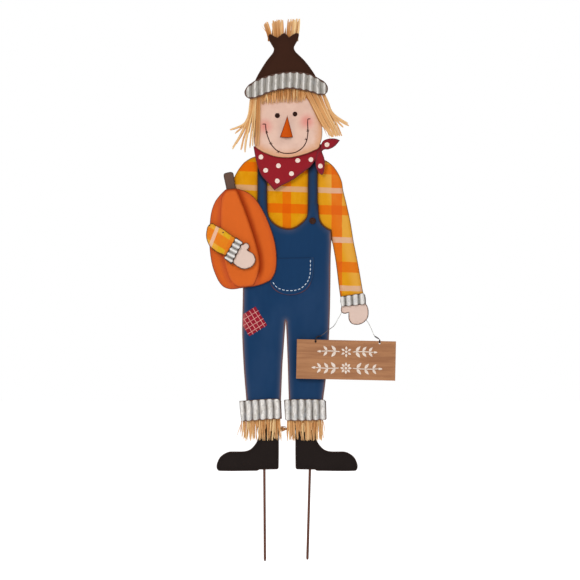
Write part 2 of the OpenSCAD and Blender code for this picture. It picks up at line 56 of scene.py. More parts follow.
world = bpy.data.worlds.new("studio")
S.world = world
world.use_nodes = True
wn = world.node_tree
wn.nodes.clear()
w_out = wn.nodes.new("ShaderNodeOutputWorld")
w_mix = wn.nodes.new("ShaderNodeMixShader")
w_lit = wn.nodes.new("ShaderNodeBackground")
w_cam = wn.nodes.new("ShaderNodeBackground")
w_path = wn.nodes.new("ShaderNodeLightPath")
w_lit.inputs[0].default_value = (1.0, 1.0, 1.0, 1)
w_lit.inputs[1].default_value = 0.55
w_cam.inputs[0].default_value = (1.0, 1.0, 1.0, 1)
w_cam.inputs[1].default_value = 1.0
wn.links.new(w_path.outputs["Is Camera Ray"], w_mix.inputs[0])
wn.links.new(w_lit.outputs[0], w_mix.inputs[1])
wn.links.new(w_cam.outputs[0], w_mix.inputs[2])
wn.links.new(w_mix.outputs[0], w_out.inputs[0])


def softbox(name, at, aim, size, power):
    d = bpy.data.lights.new(name, "AREA")
    d.shape = "RECTANGLE"
    d.size, d.size_y = size
    d.energy = power
    o = bpy.data.objects.new(name, d)
    o.location = at
    o.rotation_euler = (Vector(aim) - Vector(at)).to_track_quat("-Z", "Y").to_euler()
    S.collection.objects.link(o)
    return o


softbox("key", (-1.3, -2.4, 1.9), (0, 0, 0.35), (1.0, 1.0), 35)
softbox("fill", (2.2, -2.6, 0.9), (0, 0, 0.3), (1.6, 1.6), 12.5)
softbox("back_left", (-1.6, 2.2, 1.4), (0, 0, 0.35), (1.6, 1.6), 18)

# ------------------------------------------------------------------ node helpers


def lin(r, g, b):
    def f(c):
        c = c / 255.0
        return c / 12.92 if c <= 0.04045 else ((c + 0.055) / 1.055) ** 2.4
    return (f(r), f(g), f(b), 1.0)


class G:
    """A small builder of node graphs: sockets and numbers go in, sockets come out."""

    def __init__(self, name):
        self.mat = bpy.data.materials.new(name)
        self.mat.use_nodes = True
        self.t = self.mat.node_tree
        self.t.nodes.clear()
        self.out = self.t.nodes.new("ShaderNodeOutputMaterial")
        self.bsdf = self.t.nodes.new("ShaderNodeBsdfPrincipled")
        self.t.links.new(self.bsdf.outputs[0], self.out.inputs[0])
        self._xyz = None

    def put(self, sock, v):
        if isinstance(v, bpy.types.NodeSocket):
            self.t.links.new(v, sock)
        elif v is not None:
            sock.default_value = v

    def m(self, op, a, b=None, c=None, clamp=False):
        n = self.t.nodes.new("ShaderNodeMath")
        n.operation = op
        n.use_clamp = clamp
        for i, v in enumerate((a, b, c)):
            self.put(n.inputs[i], v)
        return n.outputs[0]

    def add(self, a, b): return self.m("ADD", a, b)
    def sub(self, a, b): return self.m("SUBTRACT", a, b)
    def mul(self, a, b): return self.m("MULTIPLY", a, b)
    def mx(self, a, b): return self.m("MAXIMUM", a, b)
    def mn(self, a, b): return self.m("MINIMUM", a, b)

    def step(self, v, lo, hi):
        """0 under lo, 1 over hi, smooth between; lo may be above hi."""
        n = self.t.nodes.new("ShaderNodeMapRange")
        n.interpolation_type = "SMOOTHSTEP"
        flip = lo > hi
        if flip:
            lo, hi = hi, lo
        self.put(n.inputs["Value"], v)
        n.inputs["From Min"].default_value = lo
        n.inputs["From Max"].default_value = hi
        n.inputs["To Min"].default_value = 1.0 if flip else 0.0
        n.inputs["To Max"].default_value = 0.0 if flip else 1.0
        return n.outputs[0]

    def xyz(self):
        """Object position in millimetres."""
        if self._xyz is None:
            tc = self.t.nodes.new("ShaderNodeTexCoord")
            sc = self.t.nodes.new("ShaderNodeVectorMath")
            sc.operation = "SCALE"
            sc.inputs["Scale"].default_value = 1000.0
            self.t.links.new(tc.outputs["Object"], sc.inputs[0])
            sp = self.t.nodes.new("ShaderNodeSeparateXYZ")
            self.t.links.new(sc.outputs[0], sp.inputs[0])
            self._xyz = (sp.outputs[0], sp.outputs[1], sp.outputs[2], sc.outputs[0])
        return self._xyz

    def vec(self, sx, sy, sz, turn=0.0):
        """Position in millimetres, turned about Y, then stretched along each axis."""
        n = self.t.nodes.new("ShaderNodeMapping")
        n.vector_type = "POINT"
        n.inputs["Rotation"].default_value = (0, math.radians(turn), 0)
        r = n
        self.t.links.new(self.xyz()[3], n.inputs["Vector"])
        k = self.t.nodes.new("ShaderNodeVectorMath")
        k.operation = "MULTIPLY"
        k.inputs[1].default_value = (sx, sy, sz)
        self.t.links.new(r.outputs[0], k.inputs[0])
        return k.outputs[0]

    def noise(self, size, detail=3.0, rough=0.55, stretch=(1, 1, 1), turn=0.0, dist=0.0):
        """Noise with features about `size` mm across."""
        n = self.t.nodes.new("ShaderNodeTexNoise")
        s = 1.0 / size
        n.inputs["Scale"].default_value = 1.0
        n.inputs["Detail"].default_value = detail
        n.inputs["Roughness"].default_value = rough
        n.inputs["Distortion"].default_value = dist
        self.t.links.new(self.vec(s / stretch[0], s / stretch[1], s / stretch[2], turn), n.inputs["Vector"])
        return n.outputs[0]

    def attr(self, name):
        n = self.t.nodes.new("ShaderNodeAttribute")
        n.attribute_type = "GEOMETRY"
        n.attribute_name = name
        return n.outputs["Fac"]

    def mix(self, f, a, b, mode="MIX"):
        n = self.t.nodes.new("ShaderNodeMix")
        n.data_type = "RGBA"
        n.blend_type = mode
        n.clamp_factor = True
        self.put(n.inputs[0], f)
        self.put(n.inputs[6], a)
        self.put(n.inputs[7], b)
        return n.outputs[2]

    def scale(self, col, k):
        """Colour times a number socket."""
        n = self.t.nodes.new("ShaderNodeVectorMath")
        n.operation = "SCALE"
        self.put(n.inputs[0], col)
        self.put(n.inputs["Scale"], k)
        return n.outputs[0]

    def band(self, v, c, half, soft=0.4):
        """1 inside c-half..c+half."""
        return self.step(self.m("ABSOLUTE", self.sub(v, c)), half + soft, half - soft)

    def done(self, colour, rough=0.5, bump=None, height=0.2, metal=0.0, spec=0.4, coat=0.0, coat_rough=0.2, sheen=0.0):
        b = self.bsdf
        self.put(b.inputs["Base Color"], colour)
        self.put(b.inputs["Roughness"], rough)
        b.inputs["Specular IOR Level"].default_value = spec
        if metal:
            self.put(b.inputs["Metallic"], metal)
        if coat:
            b.inputs["Coat Weight"].default_value = coat
            b.inputs["Coat Roughness"].default_value = coat_rough
        if sheen:
            b.inputs["Sheen Weight"].default_value = sheen
        if bump is not None:
            n = self.t.nodes.new("ShaderNodeBump")
            n.inputs["Strength"].default_value = 1.0
            n.inputs["Distance"].default_value = height * 0.001
            self.put(n.inputs["Height"], bump)
            self.t.links.new(n.outputs[0], b.inputs["Normal"])
        return self.mat


def painted(name, colour, shade=None, shade_w=10.0, shade_k=0.6, worn=None, worn_w=1.6, worn_k=0.9, grain=(1, 1, 1),
            turn=0.0, vary=0.10, rough=0.60, spec=0.05, height=0.10, speck=0.22, post=None):
    """Brush-painted sheet metal: mottled colour, a darker wash towards the rim, paint rubbed off at the edge."""
    g = G(name)
    base = colour(g) if callable(colour) else g.mix(0.0, lin(*colour), lin(*colour))
    d = g.attr("edge")
    big = g.noise(42, 3, 0.6, grain, turn)
    mid = g.noise(7, 4, 0.6, grain, turn)
    fine = g.noise(1.3, 4, 0.7, grain, turn)
    k = g.add(g.mul(big, 0.45), g.add(g.mul(mid, 0.35), g.mul(fine, 0.20)))
    col = g.scale(base, g.add(1.0 - 1.6 * vary, g.mul(k, 3.2 * vary)))
    if shade is not None:
        wob = g.add(d, g.mul(g.sub(mid, 0.5), shade_w * 0.5))
        col = g.mix(g.mul(g.step(wob, shade_w, 0.0), shade_k), col, lin(*shade))
    # tiny flecks where the top coat is thin
    fl = g.mul(g.step(g.noise(0.9, 2, 0.7), 0.70, 0.78), speck)
    col = g.mix(fl, col, g.scale(col, 0.6))
    if post is not None:
        col = post(g, col, d, mid)
    if worn is not None:
        wob = g.add(d, g.mul(g.sub(g.noise(3.4, 4, 0.7), 0.5), worn_w * 1.4))
        rub = g.mul(g.step(wob, worn_w, worn_w * 0.35), worn_k)
        col = g.mix(rub, col, lin(*worn))
    r = g.add(rough - 0.08, g.mul(mid, 0.16))
    h = g.add(g.mul(fine, 0.5), g.mul(mid, 0.5))
    return g.done(col, r, h, height, spec=spec)


# ------------------------------------------------------------------ outlines (mm, x and z; a third value marks a sharp corner)
OUT = {
    "hat": [(-37, 851, 1), (-35, 855), (-31, 855.5), (-25, 851.5), (-19, 849, 1), (-13.5, 853), (-9, 856.5), (-4, 857.5),
            (0, 853.5), (4, 849.5, 1), (9, 853), (14, 856.5), (19.5, 858), (23, 856), (23, 852, 1), (19.5, 841.5),
            (16, 835.5), (13.5, 829), (16.5, 821.5), (22, 816), (35, 803), (48, 786), (56, 773), (60, 760, 1),
            (58, 756, 1), (-62, 756, 1), (-64, 760, 1), (-62, 766.5), (-53.5, 782.5), (-40.5, 803), (-33, 812.5),
            (-27.5, 820), (-26, 827), (-30, 834.5), (-34.5, 842.5)],
    "hat_band": [(-83.5, 742), (-81, 748.5), (-75, 756), (-60, 766), (-41, 773.5), (-18.5, 779.5), (4, 782),
                 (25, 781.5), (44.5, 777.5), (64, 768), (72.5, 762.5), (78, 756), (80, 750), (79, 743), (75.5, 738.5),
                 (69, 736), (62.5, 736.5), (46.5, 742), (27, 746), (7.5, 748.5), (-12, 746.5), (-34.5, 741),
                 (-52.5, 733.5), (-68.5, 729), (-75, 729.5), (-81, 734)],
    "head": [(-62, 635), (-51, 627), (-39.5, 621.5), (-25, 616.5), (-12, 614.5), (1, 614), (14, 615.5), (27, 618.5),
             (40, 622.5), (53, 628), (61.5, 632.5), (65.5, 643), (68, 651.5), (69, 663), (68.5, 676), (67, 695),
             (64, 715), (58, 735), (47, 752), (30, 764), (5, 769), (-20, 767), (-40, 758), (-54, 742), (-61, 722),
             (-64, 700), (-65, 678), (-65, 655), (-64.5, 643)],
    "bandana": [(-66, 636.5, 1), (-63, 619), (-59, 601.5), (-50.5, 580), (-40, 567.5), (-31.5, 558.5),
                (-25, 550.5, 1), (-12, 559), (1, 565.5), (12.5, 572), (23.5, 580), (35, 588.5), (44, 595),
                (49.5, 601.5), (54, 608, 1), (60, 614), (66, 624), (68.5, 632), (68, 641, 1), (60, 640, 1),
                (53, 631, 1), (35, 625), (0, 622), (-35, 625), (-58, 637, 1)],
    "tail_lower": [(56, 611), (55.5, 603), (57, 595), (60, 588.5), (65, 582), (68, 580.5), (71.5, 585), (73, 595),
                   (74, 606), (72.5, 614.5), (69, 624), (66.5, 630, 1), (60, 626)],
    "tail_upper": [(66.5, 631, 1), (66.5, 640.5, 1), (70.5, 647), (77, 650.5), (85.5, 652), (95, 651.5), (103.5, 648.5, 1),
                   (99, 642.5), (92, 635.5), (81, 630.5), (72.5, 630), (68.5, 626.5), (66.5, 622, 1)],
    "shirt": [(-35, 623, 1), (-63, 617), (-72, 613.5), (-83.5, 606), (-91.5, 597), (-98, 587.5), (-105, 574),
              (-114, 554), (-125, 528), (-134, 500), (-141, 470), (-143, 450), (-138, 436), (-126, 431), (-113, 440),
              (-104, 470), (-92, 500), (-78, 512), (-68, 495), (-62, 460), (-60, 432, 1), (60, 432, 1), (66, 456),
              (78, 464), (87, 452), (92, 431), (96, 406.5), (101.5, 362), (104.5, 341.5, 1), (150.5, 346, 1),
              (148, 357), (143, 386.5), (136.5, 421.5), (130.5, 451), (124.5, 488.5), (117, 523), (110, 551.5),
              (108, 565.5), (104, 577), (99, 586.5), (91.5, 597), (83.5, 604.5), (74, 610), (60, 615), (35, 622, 1)],
    "overalls": [(-58, 608, 1), (-58, 560, 1), (-58, 527, 1), (-59.5, 522, 1), (-61.5, 499), (-63.5, 489.5),
                 (-68, 482.5), (-74, 477.5), (-80, 473.5), (-85, 472, 1), (-86.5, 450), (-86.5, 400), (-87, 340),
                 (-88, 292), (-88, 265), (-85.5, 210), (-83, 175), (-80, 138.5), (-79, 112, 1), (-13, 112, 1),
                 (-11.5, 150), (-9, 210), (-7, 237.5), (-5, 265), (-2.5, 294, 1), (-0.5, 256), (1.5, 201), (3, 150),
                 (4.5, 112, 1), (70, 112, 1), (71, 140.5), (74, 164), (77.5, 195), (82, 258.5), (84, 310.5),
                 (85, 365.5), (85.5, 420), (86.5, 450), (85.5, 472, 1), (81, 473.5), (75, 477.5), (69, 482.5),
                 (64.5, 489.5), (62.5, 499), (61, 522.5, 1), (59.5, 526.5, 1), (59.5, 608, 1), (41.5, 608, 1),
                 (41, 557, 1), (40.5, 510), (39, 499), (35, 492), (28, 485), (19, 478.5), (8.5, 474.5), (0.5, 474),
                 (-7.5, 475.5), (-16.5, 478.5), (-25.5, 484.5), (-32, 491.5), (-36.5, 500), (-38.5, 510),
                 (-39.5, 530, 1), (-39.5, 608, 1)],
    "pocket": [(-37, 417, 1), (52, 419, 1), (52, 395), (47, 370), (34, 353), (10, 345), (-12, 348), (-28, 359),
               (-36, 378)],
    "boot": [(-16.5, 128, 1), (-16.5, 6.5), (-19, 3, 1), (-42.5, 2.5), (-54, 2.5, 1), (-59, 0, 1), (-133.5, 0),
             (-137.5, 3.5), (-138.5, 10), (-136.5, 18), (-131.5, 27), (-123.5, 33.5), (-114, 37.5), (-102, 38),
             (-90, 38), (-80.5, 39), (-72, 42.5), (-64, 50.5), (-58.5, 60), (-56, 75), (-56, 128, 1)],
    "leg_cuff_left": [(-93.5, 137.5, 1), (-63, 140), (-31.5, 142), (-14, 141.5, 1), (-12, 137.5, 1), (-10.5, 102.5, 1),
                      (-35.5, 101.5), (-63, 99.5), (-88.5, 97.5, 1), (-90, 99.5, 1), (-92.5, 120)],
    "leg_cuff_right": [(-6, 138.5, 1), (-4, 140, 1), (13.5, 141), (54.5, 141), (73, 140, 1), (76.5, 136.5, 1),
                       (77.5, 102.5, 1), (75.5, 100.5, 1), (36, 99), (0, 99, 1), (-4, 101.5, 1)],
    "pumpkin": [(-120, 552), (-110, 553.5), (-100, 554), (-82.5, 549), (-72, 543), (-63, 535), (-54, 522.5),
                (-47, 510), (-40, 496), (-33, 478.5), (-27, 461), (-22.5, 441.5), (-20.5, 422), (-20.5, 406),
                (-22.5, 392), (-27, 381.5), (-31.5, 375), (-40, 370), (-50.5, 365.5), (-64.5, 362), (-79, 360),
                (-91, 358.5), (-103.5, 356.5), (-114, 357), (-124.5, 361), (-133.5, 371), (-140.5, 385),
                (-146, 400.5), (-149.5, 416.5), (-151.5, 432.5), (-152.5, 450), (-152.5, 468), (-151.5, 485.5),
                (-149.5, 503), (-146, 517), (-140.5, 529.5), (-133.5, 539), (-126.5, 546.5)],
    "lobe": [(-100, 551), (-94.5, 542), (-89.5, 529.5), (-82.5, 512), (-76, 494), (-70, 476.5), (-64.5, 459),
             (-59.5, 441.5), (-55, 423.5), (-53.5, 409.5), (-54, 397.5), (-57.5, 385), (-62, 372.5), (-67, 365),
             (-76, 362.5), (-88, 361.5), (-97, 362.5), (-105.5, 368.5), (-112.5, 378), (-117.5, 392), (-121, 405),
             (-126, 430), (-129, 455), (-130, 478), (-130, 495), (-129.5, 512), (-128, 529.5), (-125.5, 540),
             (-120, 549.5), (-110, 552)],
    "stem": [(-119.5, 544, 1), (-119.5, 554), (-122, 566.5), (-124.5, 579), (-123.5, 583), (-119, 585), (-110, 586.5),
             (-106, 584.5), (-104.5, 580), (-102.5, 565), (-100.5, 554), (-100.5, 544, 1)],
    "forearm": [(-147.5, 485.5), (-139, 481.5), (-124.5, 474), (-112.5, 465), (-96, 454, 1), (-115, 417, 1),
                (-119.5, 421.5), (-126.5, 424.5), (-136, 428.5), (-145, 434.5), (-151.5, 440.5), (-155, 447),
                (-157.5, 454), (-158.5, 462.5), (-157.5, 471.5), (-155, 480)],
    "forearm_cuff": [(-100, 458.5, 1), (-86, 448.5, 1), (-98, 426), (-108.5, 405, 1), (-124, 417, 1), (-111, 439)],
    "hand_left": [(-90, 446, 1), (-86, 444.5), (-84, 446.5), (-79.5, 447.5), (-75.5, 445), (-73.5, 440.5),
                  (-75, 436.5), (-77.5, 433.5, 1), (-72, 430), (-66.5, 426.5), (-63, 421), (-61.5, 415), (-63, 408),
                  (-67.5, 401.5), (-74.5, 397.5), (-82.5, 395.5), (-89.5, 396.5), (-96.5, 400), (-102.5, 404),
                  (-107.5, 409, 1)],
    "arm_cuff": [(105, 342, 1), (149.5, 349, 1), (153, 345.5, 1), (154.5, 336.5), (154.5, 327.5, 1), (129.5, 324.5),
                 (106.5, 322.5, 1), (104.5, 333)],
    "hand_right": [(106.5, 340, 1), (106.5, 323), (105.5, 316), (107, 311), (112, 308.5), (117, 309),
                   (120.5, 310.5, 1), (120.5, 300.5), (122, 294.5), (126.5, 289), (132, 287), (141, 287),
                   (149.5, 290.5), (155, 295.5), (159, 302), (160, 310.5), (159.5, 317.5), (157.5, 323.5),
                   (154, 330), (151, 343, 1)],
}


def unit(v):
    return v / max(np.linalg.norm(v), 1e-9)


def outline(p, step=2.0):
    """Closed smooth outline, counter-clockwise as seen from the front."""
    c = len(p)
    q = [np.array(a[:2], float) for a in p]
    hard = [len(a) > 2 for a in p]
    out = []
    for i in range(c):
        j = (i + 1) % c
        a, b = q[i], q[j]
        L = np.linalg.norm(b - a)
        ta = unit(b - a) if hard[i] else unit(b - q[i - 1])
        tb = unit(b - a) if hard[j] else unit(q[(j + 1) % c] - a)
        n = max(1, int(math.ceil(L / step)))
        for k in range(n):
            t = k / n
            t2, t3 = t * t, t * t * t
            out.append((2 * t3 - 3 * t2 + 1) * a + (t3 - 2 * t2 + t) * L * ta + (3 * t2 - 2 * t3) * b + (t3 - t2) * L * tb)
    out = np.array(out)
    x, z = out[:, 0], out[:, 1]
    if np.sum(x * np.roll(z, -1) - np.roll(x, -1) * z) < 0:
        out = out[::-1].copy()
    return out


def dist_to(poly, pts):
    a = poly
    b = np.roll(poly, -1, 0)
    ab = b - a
    L2 = np.maximum((ab ** 2).sum(1), 1e-12)
    res = np.empty(len(pts))
    for s in range(0, len(pts), 2000):
        p = pts[s:s + 2000]
        ap = p[:, None, :] - a[None]
        t = np.clip((ap * ab[None]).sum(2) / L2[None], 0, 1)
        d = ap - t[..., None] * ab[None]
        res[s:s + 2000] = np.sqrt((d ** 2).sum(2)).min(1)
    return res


def is_in(poly, pts):
    x, z = pts[:, 0], pts[:, 1]
    hit = np.zeros(len(pts), bool)
    b = np.roll(poly, -1, 0)
    for (x1, z1), (x2, z2) in zip(poly, b):
        if z1 == z2:
            continue
        cross = ((z1 > z) != (z2 > z)) & (x < (x2 - x1) * (z - z1) / (z2 - z1) + x1)
        hit ^= cross
    return hit


def normals(poly):
    t = np.roll(poly, -1, 0) - np.roll(poly, 1, 0)
    t /= np.maximum(np.linalg.norm(t, axis=1, keepdims=True), 1e-9)
    return np.stack([t[:, 1], -t[:, 0]], 1)


def triangulate(poly, extra):
    """Triangles over the outline with free points inside. Returns points, triangles and the outline's indices."""
    pts = [Vector(p) for p in np.vstack([poly, extra]).tolist()] if len(extra) else [Vector(p) for p in poly.tolist()]
    n = len(poly)
    co, _, faces, orig, _, _ = delaunay_2d_cdt(pts, [], [list(range(n))], 1, 1e-5)
    co = np.array([(c[0], c[1]) for c in co])
    back = {}
    for i, o in enumerate(orig):
        for k in o:
            back[k] = i
    loop = [back[i] for i in range(n)]
    tri = []
    for f in faces:
        f = list(f)
        a, b, c = co[f[0]], co[f[1]], co[f[2]]
        if (b[0] - a[0]) * (c[1] - a[1]) - (b[1] - a[1]) * (c[0] - a[0]) < 0:
            f = f[::-1]
        tri.append(f)
    return co, tri, loop


BACK = {}


def make(name, verts, faces, mats, body, replaces=(), attrs=None, sharp=40, face_mat=None):
    """A mesh object from points in millimetres."""
    me = bpy.data.meshes.new(name)
    me.from_pydata([(float(v[0]) * 0.001, float(v[1]) * 0.001, float(v[2]) * 0.001) for v in verts], [], faces)
    for m in mats:
        me.materials.append(m)
    for k, v in (attrs or {}).items():
        a = me.attributes.new(k, "FLOAT", "POINT")
        a.data.foreach_set("value", np.asarray(v, np.float32))
    if face_mat is not None:
        me.polygons.foreach_set("material_index", np.asarray(face_mat, np.int32))
    me.polygons.foreach_set("use_smooth", [True] * len(me.polygons))
    me.update()
    if sharp:
        me.set_sharp_from_angle(angle=math.radians(sharp))
    o = bpy.data.objects.new(name, me)
    S.collection.objects.link(o)
    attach(o, body)
    if replaces:
        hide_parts(*replaces)
    return o


def thicken(o, t, back_slot=1):
    s = o.modifiers.new("sheet", "SOLIDIFY")
    s.thickness = t * 0.001
    s.offset = -1
    s.use_rim = True
    s.material_offset = back_slot
    s.material_offset_rim = 0
    return o


def wavy(seed, amp, size=90.0):
    r = random.Random(seed)
    ph = [r.uniform(0, 6.28) for _ in range(6)]
    k = 6.283 / size

    def f(x, z):
        v = np.sin(x * k + ph[0]) * np.cos(z * k * 0.7 + ph[1]) + 0.5 * np.sin(x * k * 2.1 + z * k * 1.3 + ph[2]) \
            + 0.25 * np.sin(x * k * 4.3 - z * k * 3.1 + ph[3])
        return amp * (0.5 + v / 3.5)
    return f


SURF = {}


def plate(name, key, front, back, mat, body="figure", node=None, roll=1.6, grid=5.0, wave=0.25, seed=1,
          wall=0.9, flip=False, crown=0.0, crown_w=20.0, closed=False, step=2.0, near=None):
    """Sheet-metal plate with a rolled rim folded to the back (or a plain thin plate when closed)."""
    pts_key = OUT[key] if isinstance(key, str) else key
    poly = outline(pts_key, step)
    if flip:
        poly = poly[::-1].copy()
        poly[:, 0] *= -1
    nrm = normals(poly)
    extra = []
    for d in (roll * 0.08, roll * 0.3, roll * 0.62, roll * 1.05, roll * 1.8):
        ring = poly - nrm * d
        keep = is_in(poly, ring)
        ring = ring[keep]
        ring = ring[dist_to(poly, ring) > d * 0.86]
        extra.append(ring)
    lo, hi = poly.min(0), poly.max(0)
    gx, gz = np.meshgrid(np.arange(lo[0], hi[0], grid), np.arange(lo[1], hi[1], grid * 0.9))
    gx = gx + (np.arange(gx.shape[0])[:, None] % 2) * grid * 0.5
    gp = np.stack([gx.ravel(), gz.ravel()], 1)
    gp = gp[is_in(poly, gp)]
    gp = gp[dist_to(poly, gp) > roll * 1.8 + grid * 0.4]
    extra.append(gp)
    if near:
        other = outline(OUT[near], 3.0)
        on = normals(other)
        for k in (-2.0, 0.6, 3.2, 6.0, 9.0, 13.0):
            ring = other + on * k
            ring = ring[is_in(poly, ring)]
            extra.append(ring[dist_to(poly, ring) > roll * 1.8 + 1.0])
    co, tri, loop = triangulate(poly, np.vstack(extra))
    d = dist_to(poly, co)
    d[loop] = 0
    wf = wavy(seed, wave)

    def surf(x, z, dd=None):
        x, z = np.atleast_1d(np.asarray(x, float)), np.atleast_1d(np.asarray(z, float))
        if dd is None:
            dd = dist_to(poly, np.stack([x, z], 1))
        q = np.clip(roll - dd, 0, roll)
        y = front + roll - np.sqrt(np.maximum(roll * roll - q * q, 0))
        y = y + wf(x, z) * np.clip(dd / 8, 0, 1)
        if crown:
            c = np.clip(1 - dd / crown_w, 0, 1)
            y = y + crown * c * c
        return y
    y = surf(co[:, 0], co[:, 1], d)
    verts = [(a[0], b, a[1]) for a, b in zip(co, y)]
    edge = list(np.minimum(d, 80))
    faces = [list(t) for t in tri]
    tags = {"edge": edge}
    if near:
        nd = dist_to(other, co)
        nd[is_in(other, co)] = 0
        tags["near"] = list(np.minimum(nd, 60))
    n = len(loop)
    prev = list(loop)
    y0 = front + roll + (crown if crown else 0)
    levels = [back] if back - y0 < 1.2 else list(np.linspace(y0, back, 3)[1:])
    for lv in levels:
        base = len(verts)
        for i in loop:
            verts.append((co[i][0], lv, co[i][1]))
            edge.append(0)
            if near:
                tags["near"].append(60)
        cur = list(range(base, base + n))
        for i in range(n):
            j = (i + 1) % n
            faces.append([prev[i], cur[i], cur[j], prev[j]])
        prev = cur
    if closed:
        base = len(verts)
        ring = {k: c for k, c in zip(loop, prev)}
        inner = {}
        for i in range(len(co)):
            if i in ring:
                inner[i] = ring[i]
            else:
                inner[i] = len(verts)
                verts.append((co[i][0], back, co[i][1]))
                edge.append(min(d[i], 80))
        fm = [0] * len(faces)
        for t in tri:
            faces.append([inner[t[2]], inner[t[1]], inner[t[0]]])
            fm.append(1)
        o = make(name, verts, faces, [mat, BACK["paint"]], body, (node,) if node else (), tags, 50, fm)
    else:
        o = make(name, verts, faces, [mat, BACK["paint"]], body, (node,) if node else (), tags, 50)
        thicken(o, wall)
    SURF[name] = surf
    return o


def slab(name, polys, surf, lift, mat, body="figure", sink=0.15, grid=None, attrs=None, tints=None):
    """Crisp paint laid on a surface: closed flat shapes `lift` mm proud of it."""
    verts, faces, tint = [], [], []
    for pi, poly in enumerate(polys):
        poly = np.asarray(poly, float)
        x, z = poly[:, 0], poly[:, 1]
        if np.sum(x * np.roll(z, -1) - np.roll(x, -1) * z) < 0:
            poly = poly[::-1].copy()
        extra = np.zeros((0, 2))
        if grid:
            lo, hi = poly.min(0), poly.max(0)
            gx, gz = np.meshgrid(np.arange(lo[0], hi[0], grid), np.arange(lo[1], hi[1], grid))
            gp = np.stack([gx.ravel(), gz.ravel()], 1)
            gp = gp[is_in(poly, gp)]
            if len(gp):
                extra = gp[dist_to(poly, gp) > grid * 0.35]
        co, tri, loop = triangulate(poly, extra)
        y = surf(co[:, 0], co[:, 1])
        b = len(verts)
        m = len(co)
        verts += [(c[0], v - lift, c[1]) for c, v in zip(co, y)]
        verts += [(c[0], v + sink, c[1]) for c, v in zip(co, y)]
        tv = tints[pi] if tints else 0.5
        tint += [tv] * (2 * m)
        faces += [[b + i for i in t] for t in tri]
        faces += [[b + m + t[2], b + m + t[1], b + m + t[0]] for t in tri]
        n = len(loop)
        for i in range(n):
            j = (i + 1) % n
            faces.append([b + loop[i], b + m + loop[i], b + m + loop[j], b + loop[j]])
    return make(name, verts, faces, [mat], body, (), {"tint": tint}, 30)


def stroke(path, width, step=1.2, taper=0.5):
    """Outline of a brush line along a path."""
    p = np.asarray(path, float)
    seg = np.linalg.norm(np.diff(p, axis=0), axis=1)
    s = np.concatenate([[0], np.cumsum(seg)])
    n = max(2, int(s[-1] / step))
    t = np.linspace(0, s[-1], n + 1)
    q = np.stack([np.interp(t, s, p[:, 0]), np.interp(t, s, p[:, 1])], 1)
    dr = np.gradient(q, axis=0)
    dr /= np.maximum(np.linalg.norm(dr, axis=1, keepdims=True), 1e-9)
    nn = np.stack([-dr[:, 1], dr[:, 0]], 1)
    w = np.full(len(q), width / 2)
    if taper:
        e = np.minimum(t, s[-1] - t) / max(taper * width * 2, 1e-6)
        w *= np.clip(0.45 + 0.55 * e, 0, 1)
    a = q + nn * w[:, None]
    b = q - nn * w[:, None]
    return np.vstack([a, b[::-1]])


def smooth_path(p, m=8):
    q = [np.array(a, float) for a in p]
    c = len(q)
    out = []
    for i in range(c - 1):
        a, b = q[i], q[i + 1]
        L = np.linalg.norm(b - a)
        ta = unit(q[1] - q[0]) if i == 0 else unit(q[i + 1] - q[i - 1])
        tb = unit(q[-1] - q[-2]) if i == c - 2 else unit(q[i + 2] - q[i])
        for k in range(m):
            t = k / m
            t2, t3 = t * t, t * t * t
            out.append((2 * t3 - 3 * t2 + 1) * a + (t3 - 2 * t2 + t) * L * ta + (3 * t2 - 2 * t3) * b + (t3 - t2) * L * tb)
    out.append(q[-1])
    return np.array(out)


def ellipse(x, z, a, b, turn=0.0, n=24, wob=0.0, seed=0):
    r = random.Random(seed)
    ph = r.uniform(0, 6.28)
    t = np.arange(n) / n * 2 * math.pi
    k = 1 + wob * np.sin(2 * t + ph) + wob * 0.6 * np.sin(3 * t + ph * 2)
    u, v = a * k * np.cos(t), b * k * np.sin(t)
    c, s = math.cos(math.radians(turn)), math.sin(math.radians(turn))
    return np.stack([x + u * c - v * s, z + u * s + v * c], 1)


# ------------------------------------------------------------------ materials
g = G("back_paint")
n1 = g.noise(30, 4, 0.6)
n2 = g.noise(3, 4, 0.65)
c = g.mix(g.step(n1, 0.35, 0.7), lin(58, 40, 32), lin(78, 54, 42))
c = g.mix(g.mul(g.step(n2, 0.58, 0.72), 0.6), c, lin(118, 74, 48))
BACK["paint"] = g.done(c, g.add(0.55, g.mul(n2, 0.2)), n2, 0.12, spec=0.3)


